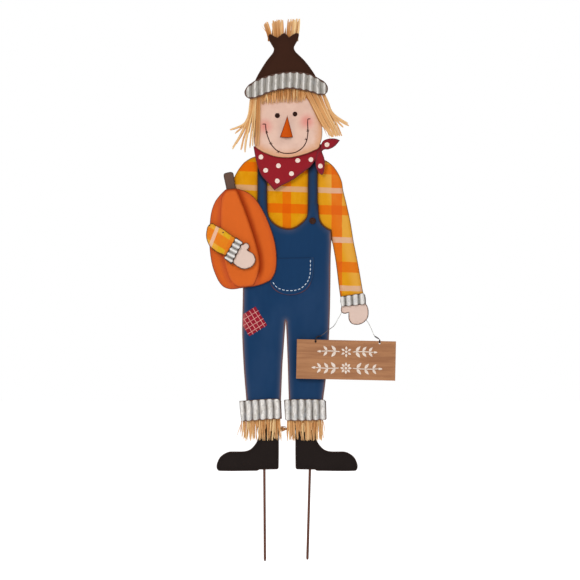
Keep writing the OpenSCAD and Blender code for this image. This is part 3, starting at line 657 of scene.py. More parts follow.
def plaid(g):
    x, _, z, _ = g.xyz()
    zz = g.add(z, g.mul(x, 0.035))
    wob = g.mul(g.sub(g.noise(14, 3, 0.6), 0.5), 1.8)
    xw = g.add(x, wob)
    zw = g.add(zz, wob)
    wash = g.noise(22, 4, 0.6)
    wash2 = g.noise(9, 4, 0.62, (1, 1, 2.5))
    base = g.mix(g.step(wash, 0.3, 0.7), lin(216, 140, 0), lin(224, 153, 12))
    # the colour thins out towards the hanging arm
    base = g.mix(g.mul(g.step(x, 28, 72), 0.75), base, lin(223, 154, 28))
    far = g.add(x, g.mul(g.sub(z, 424), 0.25))
    base = g.mix(g.mul(g.step(far, 104, 122), 0.85), base, lin(228, 166, 66))
    base = g.mix(g.mul(g.step(wash2, 0.50, 0.72), 0.35), base, lin(230, 168, 40))
    soft = g.add(0.66, g.mul(wash2, 0.42))
    v = g.mx(g.band(xw, -0.5, 8.4, 0.6), g.band(xw, 97.5, 10.4, 0.6))
    h = g.mx(g.mx(g.band(zw, 515, 9.2, 0.6), g.band(zw, 404, 10.4, 0.6)), g.band(zw, 594.5, 9.6, 0.6))
    right = g.step(x, 60, 90)
    org_v = g.mix(g.mul(right, 0.8), lin(226, 108, 2), lin(225, 106, 24))
    org_h = g.mix(right, lin(226, 100, 0), lin(226, 110, 14))
    col = g.mix(g.mul(v, soft), base, org_v)
    col = g.mix(g.mul(h, soft), col, org_h)
    col = g.mix(g.mul(g.mul(v, h), 0.7), col, g.mix(right, lin(222, 90, 2), lin(222, 94, 24)))
    p = g.mx(g.mx(g.band(zw, 553.3, 5.2, 0.5), g.band(zw, 456.9, 5.6, 0.5)), g.band(zw, 362.5, 5.2, 0.5))
    pink = g.mix(g.step(x, 30, 110), lin(217, 166, 122), lin(220, 178, 150))
    col = g.mix(g.mul(p, g.add(0.66, g.mul(wash2, 0.36))), col, pink)
    return col


def plaid_arm(g):
    x, _, z, _ = g.xyz()
    wob = g.mul(g.sub(g.noise(12, 3, 0.6), 0.5), 1.2)
    v = g.add(g.add(g.mul(x, 0.54), g.mul(z, 0.84)), wob)
    c = g.add(g.sub(g.mul(x, 0.931), g.mul(z, 0.366)), wob)
    wash = g.noise(11, 4, 0.62)
    base = g.mix(g.step(wash, 0.3, 0.7), lin(226, 160, 40), lin(232, 172, 66))
    base = g.mix(g.mul(g.band(c, -279, 7.0, 0.8), 0.8), base, lin(216, 168, 22))
    org = g.mix(g.step(wash, 0.35, 0.65), lin(230, 114, 24), lin(226, 124, 26))
    col = g.mix(g.mul(g.band(v, 309, 10.6, 0.7), 0.88), base, org)
    cross = g.band(c, -263, 8.0, 0.7)
    col = g.mix(g.mul(cross, 0.72), col, lin(228, 118, 26))
    pale = g.band(c, -301.5, 3.5, 0.5)
    return g.mix(g.mul(pale, 0.86), col, lin(232, 188, 160))


def shirt_edges(g, col, d, mid):
    """Painted shade on the shirt beside the bib and straps, where they stand off it, and a brown line along their edge
    that is antiquing and partly painted shadow.
    """
    z = g.xyz()[2]
    wob = g.add(g.attr("near"), g.mul(g.sub(mid, 0.5), 1.2))
    # painted shade on the shirt within 9 mm of the bib and straps
    col = g.mix(g.mul(g.m("POWER", g.step(wob, 9.0, 0.0), 1.3), 0.34), col, lin(158, 84, 6))
    low = g.step(z, 506, 486)
    line = g.mx(g.step(wob, 1.6, 0.6), g.mul(g.step(wob, 3.3, 2.0), low))
    return g.mix(g.mul(line, g.add(0.5, g.mul(low, 0.32))), col, lin(92, 52, 26))


def face_paint(g):
    x, _, z, _ = g.xyz()

    def blob(cx, cz, r, soft):
        dx, dz = g.sub(x, cx), g.sub(z, cz)
        r2 = g.m("SQRT", g.add(g.mul(dx, dx), g.mul(dz, dz)))
        return g.step(r2, r + soft, r - soft)
    base = g.mix(g.step(g.noise(26, 3, 0.6), 0.3, 0.7), lin(220, 182, 164), lin(228, 192, 174))
    blush = g.mx(blob(-44, 675, 10, 12), blob(39, 685, 10, 12))
    base = g.mix(g.mul(blush, g.add(0.72, g.mul(g.noise(5, 3, 0.6), 0.3))), base, lin(224, 132, 122))
    # painted shadow round the nose: grey shade beside and under the nose cone
    nose_shadow = g.mul(g.step(g.m("ABSOLUTE", g.sub(x, -1)), 24, 9), g.band(z, 668, 22, 16))
    base = g.mix(g.mul(nose_shadow, 0.30), base, lin(178, 154, 146))
    return base


def denim_edges(g, col, d, mid):
    """Dry-brushed dusty rims on the legs with a painted highlight along the rolled rim, a thin dark line round the bib
    and straps, long soft patches of wear, and a painted shadow of the bandana on the bib and straps.
    """
    x, _, z, _ = g.xyz()
    patch = g.step(g.noise(60, 3, 0.6, (1, 1, 2.2)), 0.42, 0.66)
    col = g.mix(g.mul(g.mul(patch, g.step(z, 420, 330)), 0.35), col, lin(44, 70, 106))
    legs = g.step(z, 476, 462)
    wob = g.add(d, g.mul(g.sub(mid, 0.5), 3.0))
    # lighter blue-grey towards the rim: dry-brushed dust, and a painted highlight of the rolled rim
    dust_and_rim_highlight = g.m("POWER", g.step(wob, 15.0, 1.0), 1.4)
    col = g.mix(g.mul(dust_and_rim_highlight, g.add(0.26, g.mul(legs, 0.34))), col, lin(74, 86, 112))
    dry = g.m("POWER", g.step(wob, 7.0, 0.6), 1.7)
    col = g.mix(g.mul(g.mul(dry, legs), 0.8), col, lin(112, 92, 96))
    brown = g.mul(g.mul(g.step(wob, 3.2, 1.4), legs), 0.75)
    col = g.mix(brown, col, lin(122, 84, 74))
    strap = g.mul(g.step(z, 496, 516), g.step(g.add(d, g.mul(g.sub(mid, 0.5), 2.0)), 8.0, 2.0))
    col = g.mix(g.mul(strap, 0.55), col, lin(30, 34, 46))
    # painted shadow of the bandana on the bib and straps, and a wider one under its knot on the right strap
    bandana_shadow = g.m("POWER", g.step(g.attr("near"), 9.0, 0.0), 1.4)
    knot = g.mul(g.m("POWER", g.step(g.attr("near"), 15.0, 2.0), 1.3), g.mul(g.step(x, 34, 40), g.step(z, 572, 590)))
    col = g.mix(g.mul(g.mx(bandana_shadow, knot), 0.88), col, lin(10, 12, 20))
    dark = g.mul(g.sub(1.0, legs), g.step(g.add(d, g.mul(g.sub(mid, 0.5), 0.9)), 2.0, 1.0))
    return g.mix(g.mul(dark, 0.85), col, lin(62, 40, 34))


def pocket_edges(g, col, d, mid):
    x, _, z, _ = g.xyz()
    line = g.step(g.add(d, g.mul(g.sub(mid, 0.5), 1.6)), 2.4, 0.6)
    arc = g.step(z, 384, 362)
    tint = g.mix(arc, lin(26, 46, 74), lin(112, 66, 56))
    tint = g.mix(g.step(x, 44, 50), tint, lin(62, 80, 108))
    worn_off = g.step(g.noise(16, 3, 0.6), 0.36, 0.58)
    return g.mix(g.mul(line, g.mul(g.add(0.44, g.mul(arc, 0.2)), g.sub(1.0, g.mul(arc, g.mul(worn_off, 0.65))))), col, tint)


def lobe_cast_shadow(g, col, d, mid):
    """Soft painted shadow beside the raised centre lobe, deepest on its right."""
    x, _, z, _ = g.xyz()
    n = g.attr("near")
    wob = g.add(n, g.mul(g.sub(mid, 0.5), 1.2))
    right = g.step(g.add(x, g.mul(g.sub(z, 460), 0.42)), -100, -80)
    deep = g.m("POWER", g.step(wob, 14.0, 1.5), 1.15)
    tint = g.mix(right, lin(184, 76, 44), lin(154, 48, 6))
    return g.mix(g.mul(deep, g.add(0.58, g.mul(right, 0.34))), col, tint)


def lobe_rim_shade(g, col, d, mid):
    # painted shade inside the lobe's rim, deeper on its right side
    x, _, z, _ = g.xyz()
    right = g.step(g.add(x, g.mul(g.sub(z, 460), 0.42)), -100, -80)
    wob = g.add(d, g.mul(g.sub(mid, 0.5), 1.6))
    deep = g.m("POWER", g.step(wob, 7.0, 0.0), 1.6)
    tint = g.mix(right, lin(192, 84, 48), lin(158, 52, 10))
    return g.mix(g.mul(deep, g.add(0.40, g.mul(right, 0.45))), col, tint)


M = {}
M["shirt"] = painted("shirt_paint", plaid, shade=(178, 100, 8), shade_w=8, shade_k=0.45, worn=(98, 68, 36), worn_w=1.9, vary=0.05,
                     post=shirt_edges)
M["forearm"] = painted("forearm_paint", plaid_arm, shade=(190, 116, 30), shade_w=5, shade_k=0.4, worn=(70, 48, 26), worn_w=1.9, vary=0.05)
M["denim"] = painted("denim_paint", (24, 57, 94), shade=(24, 42, 68), shade_w=14, shade_k=0.35,
                     grain=(1, 1, 3.5), vary=0.13, post=denim_edges)
M["pocket"] = painted("pocket_paint", (24, 57, 94), shade=(24, 44, 72), shade_w=3, shade_k=0.3,
                      grain=(1, 1, 3.5), vary=0.13, post=pocket_edges)
M["boot"] = painted("boot_paint", (36, 29, 27), shade=(26, 20, 18), shade_w=12, shade_k=0.4, worn=(82, 58, 50), worn_w=2.0, worn_k=0.7, vary=0.15)
M["hat"] = painted("hat_paint", (59, 33, 22), shade=(44, 24, 16), shade_w=14, shade_k=0.45, worn=(96, 66, 50), worn_w=1.5, worn_k=0.6, vary=0.13)
M["wine"] = painted("bandana_paint", (147, 31, 40), shade=(118, 34, 46), shade_w=9, shade_k=0.5, worn=(102, 48, 54), worn_w=2.2, worn_k=0.75, vary=0.11)
M["face"] = painted("face_paint", face_paint, shade=(216, 158, 118), shade_w=21, shade_k=0.9, worn=(120, 82, 56), worn_w=1.6, vary=0.03)
M["skin"] = painted("hand_paint", (225, 198, 184), shade=(206, 168, 148), shade_w=5, shade_k=0.45, worn=(72, 48, 38), worn_w=2.4, vary=0.035)
M["pumpkin"] = painted("pumpkin_paint", (214, 97, 33), shade=(184, 76, 38), shade_w=11, shade_k=0.55, worn=(112, 58, 34), worn_w=1.9,
                       grain=(1, 1, 2.2), vary=0.06, post=lobe_cast_shadow)
M["lobe"] = painted("lobe_paint", (216, 101, 36), vary=0.06, grain=(1, 1, 2.2), post=lobe_rim_shade)
M["stem"] = painted("stem_paint", (102, 78, 67), shade=(76, 56, 48), shade_w=4, shade_k=0.5, worn=(58, 42, 36), worn_w=1.6, grain=(1, 1, 5), vary=0.14)
M["nose"] = painted("nose_paint", (198, 79, 10), shade=(170, 60, 6), shade_w=3.0, shade_k=0.5, worn=(110, 52, 22), worn_w=1.7, vary=0.05)

# stakes and brace: brown paint, darker where it is scuffed
g = G("stake_paint")
n1, n2 = g.noise(14, 3, 0.6, (1, 1, 3)), g.noise(1.6, 3, 0.7)
c = g.mix(g.step(n1, 0.3, 0.7), lin(114, 76, 64), lin(98, 64, 54))
c = g.mix(g.mul(g.step(n2, 0.6, 0.72), 0.5), c, lin(66, 46, 42))
M["stake"] = g.done(c, g.add(0.45, g.mul(n2, 0.2)), n2, 0.08, spec=0.03)

# zinc-plated fixings
g = G("zinc_plate")
n1, n2 = g.noise(5, 3, 0.6), g.noise(0.6, 3, 0.7)
c = g.mix(g.step(n1, 0.3, 0.7), lin(176, 176, 170), lin(150, 150, 148))
M["zinc"] = g.done(c, g.add(0.34, g.mul(n2, 0.16)), n2, 0.03, metal=0.9)

# bail wire: bright along its legs, stained dark where it is twisted and passes the board
g = G("bail_wire")
_, _, z, _ = g.xyz()
n2 = g.noise(1.2, 3, 0.7)
c = g.mix(g.step(n2, 0.3, 0.7), lin(212, 210, 204), lin(176, 174, 168))
low = g.add(z, g.mul(g.sub(n2, 0.5), 4))
x = g.xyz()[0]
c = g.mix(g.mul(g.step(x, 97, 92), 0.9), c, lin(84, 70, 70))
c = g.mix(g.step(low, 269, 264.5), c, lin(64, 48, 42))
M["wire"] = g.done(c, g.add(0.36, g.mul(n2, 0.14)), n2, 0.02, metal=0.35, spec=0.4)
g = G("wire_dark")
n2 = g.noise(1.2, 3, 0.7)
c = g.mix(g.step(n2, 0.3, 0.7), lin(70, 52, 44), lin(44, 32, 28))
M["wire_dark"] = g.done(c, g.add(0.42, g.mul(n2, 0.14)), n2, 0.02, metal=0.3, spec=0.3)
g = G("rivet_paint")
n2 = g.noise(0.8, 3, 0.7)
c = g.mix(g.step(n2, 0.3, 0.7), lin(40, 30, 26), lin(58, 44, 38))
M["rivet"] = g.done(c, g.add(0.42, g.mul(n2, 0.2)), n2, 0.03, spec=0.25)


def galvanised(name, valley_shade, flank, crest, lo, hi, turn=0.0, top=(90, 70, 60), low=(112, 84, 76), cool=0.35, scratch=0.4, streaks=0.3, edge_w=1.5,
               rough_mix=0.5, tarnish=0.25):
    """Corrugated sheet: painted highlight on the crests and painted shade in the valleys, scratches, streaks, a brown
    cut edge.
    """
    g = G(name)
    cr, d, al = g.attr("crest"), g.attr("edge"), g.attr("along")
    streak = g.noise(1.7, 4, 0.7, (1, 1, 8), turn)
    nick = g.noise(2.6, 4, 0.75, (1, 1, 2.2), turn)
    spot = g.noise(7, 4, 0.7, (1, 1, 1.8), turn)
    w = g.add(cr, g.mul(g.sub(streak, 0.5), rough_mix))
    # tone follows the rib's height: painted shade in the valleys, painted highlight on the crests
    c = g.mix(g.step(w, lo, lo + (hi - lo) * 0.45), lin(*valley_shade), lin(*flank))
    c = g.mix(g.mul(g.step(g.add(w, g.mul(g.sub(nick, 0.5), 0.8)), hi - 0.22, hi + 0.12), 0.9), c, lin(*crest))
    c = g.mix(g.mul(g.step(spot, 0.46, 0.68), cool), c, lin(180, 186, 194))
    c = g.mix(g.mul(g.step(nick, 0.61, 0.71), scratch), c, lin(118, 108, 98))
    c = g.mix(g.mul(g.step(streak, 0.60, 0.74), streaks), c, lin(112, 106, 98))
    dull = g.noise(11, 3, 0.65, (1, 1, 1.4), turn)
    c = g.mix(g.mul(g.step(dull, 0.52, 0.70), tarnish), c, g.mix(g.step(spot, 0.4, 0.6), lin(150, 144, 140), lin(186, 176, 148)))
    # the brown edge reaches further in at the valleys: painted shade that rounds each rib's end
    rib_end_shade = g.mul(g.sub(1.0, cr), 1.9)
    rim = g.step(g.sub(g.add(d, g.mul(g.sub(g.noise(2.4, 3, 0.7), 0.5), 2.4)), rib_end_shade), edge_w, edge_w - 0.9)
    c = g.mix(rim, c, g.mix(g.step(al, 0.35, 0.6), lin(*low), lin(*top)))
    return g.done(c, g.add(0.42, g.mul(streak, 0.25)), g.add(g.mul(streak, 0.5), g.mul(spot, 0.5)), 0.12, metal=0.1, spec=0.3)


M["galv_leg_l"] = galvanised("galvanised_leg_left", (102, 95, 89), (194, 187, 181), (255, 250, 244), 0.04, 0.96, 1.5, cool=0.40, scratch=0.7, streaks=0.6,
                             edge_w=1.2, rough_mix=0.9, tarnish=0.45)
M["galv_leg_r"] = galvanised("galvanised_leg_right", (104, 98, 93), (190, 184, 178), (250, 245, 240), 0.05, 0.98, 0.0, cool=0.45, scratch=0.75, streaks=0.65,
                             edge_w=1.2, rough_mix=0.9, tarnish=0.5)
M["galv_hat"] = galvanised("galvanised_hat", (112, 106, 98), (166, 160, 152), (230, 225, 219), -0.1, 0.92, 2.0, top=(84, 56, 44), low=(92, 62, 48),
                           cool=0.2, scratch=0.55, streaks=0.6, edge_w=2.2, rough_mix=1.1)
M["galv_arm"] = galvanised("galvanised_arm", (100, 96, 90), (186, 181, 175), (236, 231, 226), 0.0, 0.84, 0.0, low=(80, 60, 52), scratch=0.5, streaks=0.4, edge_w=0.9)
M["galv_forearm"] = galvanised("galvanised_forearm", (98, 92, 88), (188, 182, 176), (242, 238, 234), -0.05, 0.86, 59.0, top=(70, 52, 44), low=(70, 52, 44), cool=0.3)

# straw
g = G("raffia")
t, al = g.attr("tint"), g.attr("along")
fib = g.noise(0.9, 3, 0.7, (1, 1, 8))
# tints below zero give dark brown straw, used for back strands that stand in for shade between the bunches
c = g.mix(g.step(t, -0.7, 0.0), lin(104, 62, 36), lin(186, 122, 66))
c = g.mix(g.step(t, 0.0, 0.5), c, lin(216, 156, 98))
c = g.mix(g.step(t, 0.5, 1.0), c, lin(240, 202, 146))
c = g.mix(g.mul(g.step(al, 0.5, 1.0), 0.35), c, lin(236, 196, 146))
# darker towards the root: painted shade where the strands go under the band and cuffs
c = g.mix(g.mul(g.step(al, 0.3, 0.0), 0.45), c, lin(168, 100, 46))
c = g.scale(c, g.add(0.80, g.mul(fib, 0.36)))
M["raffia"] = g.done(c, g.add(0.62, g.mul(fib, 0.2)), fib, 0.10, spec=0.12)

# sign board: planed pine, grain along the board
g = G("sign_wood")
x, y, z, _ = g.xyz()
ring = g.noise(7, 5, 0.62, (18, 1, 1), -1.28, 0.3)
fine = g.noise(0.9, 4, 0.7, (40, 1, 1), -1.28)
mott = g.noise(36, 3, 0.5, (2, 1, 1), -1.28)
c = g.mix(g.step(ring, 0.34, 0.66), lin(156, 106, 74), lin(180, 128, 90))
c = g.mix(g.mul(g.step(fine, 0.52, 0.68), 0.42), c, lin(140, 94, 66))
c = g.mix(g.mul(g.step(mott, 0.4, 0.7), 0.3), c, lin(190, 136, 92))
c = g.mix(g.mul(g.step(g.noise(2.2, 3, 0.6, (22, 1, 1), -1.28), 0.64, 0.72), 0.45), c, lin(136, 92, 64))
M["wood"] = g.done(c, g.add(0.56, g.mul(fine, 0.2)), g.add(g.mul(fine, 0.6), g.mul(ring, 0.4)), 0.16, spec=0.12)

# flat paints for details
g = G("white_paint")
n1, n2 = g.noise(3.2, 4, 0.7, (1.8, 1, 1)), g.noise(0.8, 3, 0.7)
c = g.mix(g.step(n1, 0.3, 0.7), lin(240, 226, 214), lin(226, 208, 192))
c = g.mix(g.mul(g.step(n2, 0.62, 0.74), 0.4), c, lin(196, 170, 146))
M["white"] = g.done(c, g.add(0.5, g.mul(n2, 0.2)), n2, 0.06, spec=0.12)
g = G("dot_paint")
n1, n2 = g.noise(3.5, 3, 0.6), g.noise(0.8, 3, 0.7)
c = g.mix(g.step(n1, 0.3, 0.7), lin(244, 228, 218), lin(236, 206, 190))
c = g.mix(g.mul(g.step(n2, 0.6, 0.74), 0.4), c, lin(214, 160, 146))
M["dot"] = g.done(c, g.add(0.45, g.mul(n2, 0.2)), n2, 0.06, spec=0.12)
g = G("line_paint")
n1, n2 = g.noise(3.5, 3, 0.6), g.noise(0.8, 3, 0.7)
c = g.mix(g.step(n1, 0.3, 0.7), lin(56, 27, 22), lin(72, 38, 32))
M["line"] = g.done(c, g.add(0.45, g.mul(n2, 0.2)), n2, 0.05, spec=0.12)
g = G("thread_paint")
n1, n2 = g.noise(2.5, 3, 0.6), g.noise(0.7, 3, 0.7)
c = g.mix(g.step(n1, 0.3, 0.7), lin(220, 229, 238), lin(196, 208, 222))
M["thread"] = g.done(c, g.add(0.5, g.mul(n2, 0.2)), n2, 0.06, spec=0.12)
g = G("button_paint")
n1, n2 = g.noise(4, 3, 0.6), g.noise(0.8, 3, 0.7)
c = g.mix(g.step(n1, 0.3, 0.7), lin(68, 38, 26), lin(48, 26, 18))
M["button"] = g.done(c, g.add(0.36, g.mul(n2, 0.2)), n2, 0.08, spec=0.12)
g = G("eye_enamel")
n1, n2 = g.noise(2.5, 3, 0.6), g.noise(0.8, 3, 0.7)
c = g.mix(g.step(n1, 0.3, 0.7), lin(38, 14, 8), lin(48, 22, 12))
M["eye"] = g.done(c, g.add(0.42, g.mul(n2, 0.12)), n2, 0.02, spec=0.10)
g = G("patch_paint")
n1, n2 = g.noise(7, 3, 0.6), g.noise(1.2, 3, 0.7)
c = g.mix(g.step(n1, 0.3, 0.7), lin(130, 18, 34), lin(158, 28, 48))
c = g.mix(g.mul(g.step(n2, 0.62, 0.74), 0.4), c, lin(104, 22, 30))
x, _, z, _ = g.xyz()
c = g.mix(g.mul(g.mul(g.step(x, -79.0, -84.5), g.step(g.noise(9, 3, 0.6), 0.30, 0.5)), 0.55), c, lin(188, 108, 104))
M["patch"] = g.done(c, g.add(0.5, g.mul(n2, 0.2)), n2, 0.08, spec=0.12)
g = G("patch_line_paint")
n1, n2 = g.noise(3.5, 3, 0.6), g.noise(0.9, 3, 0.7)
c = g.mix(g.step(n1, 0.3, 0.7), lin(236, 176, 164), lin(216, 136, 136))
M["patch_line"] = g.done(c, g.add(0.5, g.mul(n2, 0.2)), n2, 0.05, spec=0.12)

# ------------------------------------------------------------------ plates
plate("shirt", "shirt", -5, 0, M["shirt"], node="shirt_plate", seed=3, wave=0.35, grid=6, roll=1.5, near="overalls")
plate("overalls", "overalls", -10, -5, M["denim"], node="overalls_plate", seed=5, wave=0.35, grid=6, roll=1.6, near="bandana")
plate("pocket", "pocket", -11.2, -9.9, M["pocket"], node="pocket_plate", seed=6, wave=0.12, grid=6, roll=0.6, closed=True)
plate("boot_l", "boot", -5, -1, M["boot"], node="boot_left", seed=8, wave=0.25, grid=5)
plate("boot_r", "boot", -5, -1, M["boot"], node="boot_right", seed=9, wave=0.25, grid=5, flip=True)
plate("head", "head", -19, -14, M["face"], node="head_plate", seed=11, wave=0.2, grid=4, roll=1.8)
plate("hat", "hat", -24, -19, M["hat"], node="hat_plate", seed=12, wave=0.3, grid=5, roll=1.6)
plate("bandana", "bandana", -14, -10, M["wine"], node="bandana", seed=14, wave=0.25, grid=4, roll=1.4)
plate("tail_lower", "tail_lower", -15, -14, M["wine"], node="bandana_tail_lower", seed=15, wave=0.1, grid=4, roll=0.5, closed=True, step=1.5)
plate("tail_upper", "tail_upper", -16, -15, M["wine"], node="bandana_tail_upper", seed=16, wave=0.1, grid=4, roll=0.5, closed=True, step=1.5)
plate("pumpkin", "pumpkin", -16, -10, M["pumpkin"], node="pumpkin_shell", seed=17, wave=0.25, grid=5, roll=2.2, crown=1.6, crown_w=16, near="lobe")
plate("lobe", "lobe", -20, -16, M["lobe"], node="pumpkin_lobe", seed=18, wave=0.2, grid=5, roll=2.0, crown=1.0, crown_w=14)
plate("stem", "stem", -10, -8.8, M["stem"], node="pumpkin_stem", seed=19, wave=0.1, grid=4, roll=0.6, closed=True, step=1.5)
plate("forearm_p", "forearm", -26, -20, M["forearm"], node="forearm", seed=20, wave=0.2, grid=4, roll=1.6, step=1.5)
plate("hand_l", "hand_left", -26, -20, M["skin"], node="hand_left", seed=21, wave=0.15, grid=4, roll=1.6, step=1.5)
plate("hand_r", "hand_right", -5, -4, M["skin"], node="hand_right", seed=22, wave=0.1, grid=4, roll=0.5, closed=True, step=1.5)


# ------------------------------------------------------------------ corrugated bands
def corrugated(name, key, back, depth, pitch, phase, node, turn=0.0, seed=1, body="figure", mat="galv_leg_l", wide=2.2, sway=1.0):
    """Band of corrugated sheet: ribs run along the direction `turn` degrees from upright."""
    poly = outline(OUT[key], 1.4)
    r = random.Random(seed)
    ph = [r.uniform(0, 6.28) for _ in range(4)]
    ca, sa = math.cos(math.radians(turn)), math.sin(math.radians(turn))

    def uv(p):
        return p[:, 0] * ca + p[:, 1] * sa, -p[:, 0] * sa + p[:, 1] * ca

    U, V = uv(poly)
    us = np.arange(U.min(), U.max(), pitch / 9)
    vs = np.arange(V.min(), V.max(), 4.0)
    gu, gv = np.meshgrid(us, vs)
    gp = np.stack([gu.ravel() * ca - gv.ravel() * sa, gu.ravel() * sa + gv.ravel() * ca], 1)
    gp = gp[is_in(poly, gp)]
    gp = gp[dist_to(poly, gp) > 0.9]
    ring = poly - normals(poly) * 0.7
    ring = ring[is_in(poly, ring)]
    ring = ring[dist_to(poly, ring) > 0.6]
    co, tri, loop = triangulate(poly, np.vstack([gp, ring]))
    u, v = uv(co)
    warp = sway * (0.6 * np.sin(v * 0.05 + ph[0]) + 0.35 * np.sin(u * 0.09 + ph[1]) + 0.35 * np.sin(v * 0.17 + ph[2]))
    th = (u + warp - phase) / pitch * 2 * math.pi
    amp = 1 - 0.16 * (0.5 + 0.5 * np.sin(u * 0.21 + ph[3]))
    w = 1 - (0.5 - 0.5 * np.cos(th)) ** wide
    d = dist_to(poly, co)
    d[loop] = 0
    y = back - 0.7 - (depth - 0.7) * w * amp
    verts = [(p[0], q, p[1]) for p, q in zip(co, y)]
    o = make(name, verts, tri, [M[mat], M[mat]], body, (node,),
             {"edge": np.minimum(d, 60), "crest": w, "along": (v - v.min()) / (v.max() - v.min())}, 60)
    thicken(o, 0.7, 0)
    return o


corrugated("cuff_leg_l", "leg_cuff_left", -10, 4.6, 13.9, -72.4, "leg_cuff_left", 1.5, 31, wide=2.4)
corrugated("cuff_leg_r", "leg_cuff_right", -10, 4.6, 14.0, 0.5, "leg_cuff_right", 0.0, 32, mat="galv_leg_r", wide=2.4)
corrugated("band_hat", "hat_band", -24, 4.6, 13.6, -35.8, "hat_band", 0.0, 33, mat="galv_hat", wide=1.05)
corrugated("cuff_arm", "arm_cuff", -5, 4.6, 13.0, 108.7, "arm_cuff", 0.0, 34, mat="galv_arm", wide=2.0)
corrugated("cuff_forearm", "forearm_cuff", -26, 4.6, 10.0, 297.0, "forearm_cuff", 59.0, 35, mat="galv_forearm", wide=1.5)


# ------------------------------------------------------------------ raffia
class Strands:
    """Many narrow folded straw blades in one mesh."""

    def __init__(self, seed):
        self.r = random.Random(seed)
        self.v, self.f, self.t, self.a = [], [], [], []

    def blade(self, pts, width, tint, thick=0.35, spin=0.0, fold=0.35, blunt=False):
        p = smooth_path(pts, 3)
        n = len(p)
        w0 = width / 2
        for i in range(n):
            k = i / (n - 1)
            d = unit(p[min(i + 1, n - 1)] - p[max(i - 1, 0)])
            side = unit(np.cross(d, np.array([0.0, 1.0, 0.0])))
            up = unit(np.cross(side, d))
            a = spin * (0.3 + 0.7 * k)
            s2 = side * math.cos(a) + up * math.sin(a)
            u2 = -side * math.sin(a) + up * math.cos(a)
            w = w0 * (0.9 + 0.16 * math.sin(k * 5 + spin * 3))
            if blunt:
                w *= 1.0 if k < 0.92 else 1.0 - 0.35 * (k - 0.92) / 0.08
            else:
                w *= 1.0 if k < 0.7 else 1.0 - 0.8 * (k - 0.7) / 0.3
            self.v += [p[i] + s2 * w, p[i] + u2 * (thick + fold * w), p[i] - s2 * w, p[i] + u2 * (fold * w * 0.35 - thick * 0.3)]
            self.t += [tint] * 4
            self.a += [k] * 4
        b = len(self.v) - 4 * n
        for i in range(n - 1):
            for j in range(4):
                m = (j + 1) % 4
                self.f.append([b + 4 * i + j, b + 4 * i + 4 + j, b + 4 * i + 4 + m, b + 4 * i + m])
        self.f.append([b + 0, b + 1, b + 2, b + 3])
        e = b + 4 * (n - 1)
        self.f.append([e + 3, e + 2, e + 1, e + 0])

    def strand(self, a, b, bow=0.0, width=2.0, sway=0.0, tint=None, mid=0.5, jit=0.6):
        r = self.r
        a, b = np.array(a, float), np.array(b, float)
        d = b - a
        L = np.linalg.norm(d)
        nrm = unit(np.array([d[2], 0, -d[0]]))
        pts = [a]
        for k in (0.25, 0.5, 0.75):
            off = bow * 4 * k * (1 - k) + r.uniform(-jit, jit)
            q = a + d * k + nrm * off
            q[1] += sway * 4 * k * (1 - k) + r.uniform(-0.25, 0.25)
            pts.append(q)
        pts.append(b)
        self.blade(pts, width * r.uniform(0.75, 1.25), r.random() if tint is None else tint, spin=r.uniform(-0.7, 0.7),
                   thick=r.uniform(0.2, 0.4))

    def done(self, name, node, body="figure"):
        o = make(name, self.v, self.f, [M["raffia"]], body, (node,) if node else (),
                 {"tint": self.t, "along": self.a}, 35)
        return o


def spread(s, path, n, width, jit=1.4, pull=4.0, lo=-20.6, hi=-22.2, tints=(0.1, 0.95), blunt=True):
    """Several ribbons that follow one path and end a little apart."""
    r = s.r
    p = [np.array(q, float) for q in path]
    for i in range(n):
        yy = lo + (hi - lo) * (i + r.random()) / n
        k = r.uniform(0, 1)
        q = []
        for j, a in enumerate(p):
            t = j / (len(p) - 1)
            q.append(np.array((a[0] + r.uniform(-jit, jit) * (0.4 + 0.6 * t), yy + r.uniform(-0.2, 0.2), a[1] + r.uniform(-jit, jit) * 0.5)))
        back = unit(q[-2] - q[-1])
        q[-1] = q[-1] + back * pull * k * (i < n - 1)
        s.blade(q, width * r.uniform(0.75, 1.15), r.uniform(*tints), spin=r.uniform(-0.5, 0.5), thick=r.uniform(0.2, 0.35), fold=0.22, blunt=blunt)


# fringe under the hat band
s = Strands(101)
r = s.r
n = 74
for i in range(n):
    x = -53 + 90 * (i + r.uniform(-0.6, 0.6)) / n
    low = 718.5 + 5.0 * (x + 53) / 90 + r.uniform(-2.6, 2.4) + (3 if x > 28 else 0)
    yy = r.uniform(-21.9, -19.9)
    s.strand((x + r.uniform(-1.5, 1.5), yy + 0.3, 753), (x + r.uniform(-1.8, 1.8), yy, low), r.uniform(-1.2, 1.2), r.uniform(2.0, 2.8),
             tint=r.choice((-0.2, 0.1, 0.3, 0.45, 0.6, 0.75, 0.85)) + r.uniform(-0.08, 0.08))
# a back layer of dark strands fills the gaps: painted shade behind the fringe
for i in range(44):
    x = -53 + 90 * (i + 0.5) / 44
    s.strand((x, -19.7, 753), (x + r.uniform(-1, 1), -19.6, 724 + 5.0 * (x + 53) / 90 + r.uniform(-1, 4)), 0.3, 3.0, tint=r.uniform(-0.5, 0.0), jit=0.2)
s.done("straw_fringe", "hair_fringe")

# left side
s = Strands(102)
r = s.r
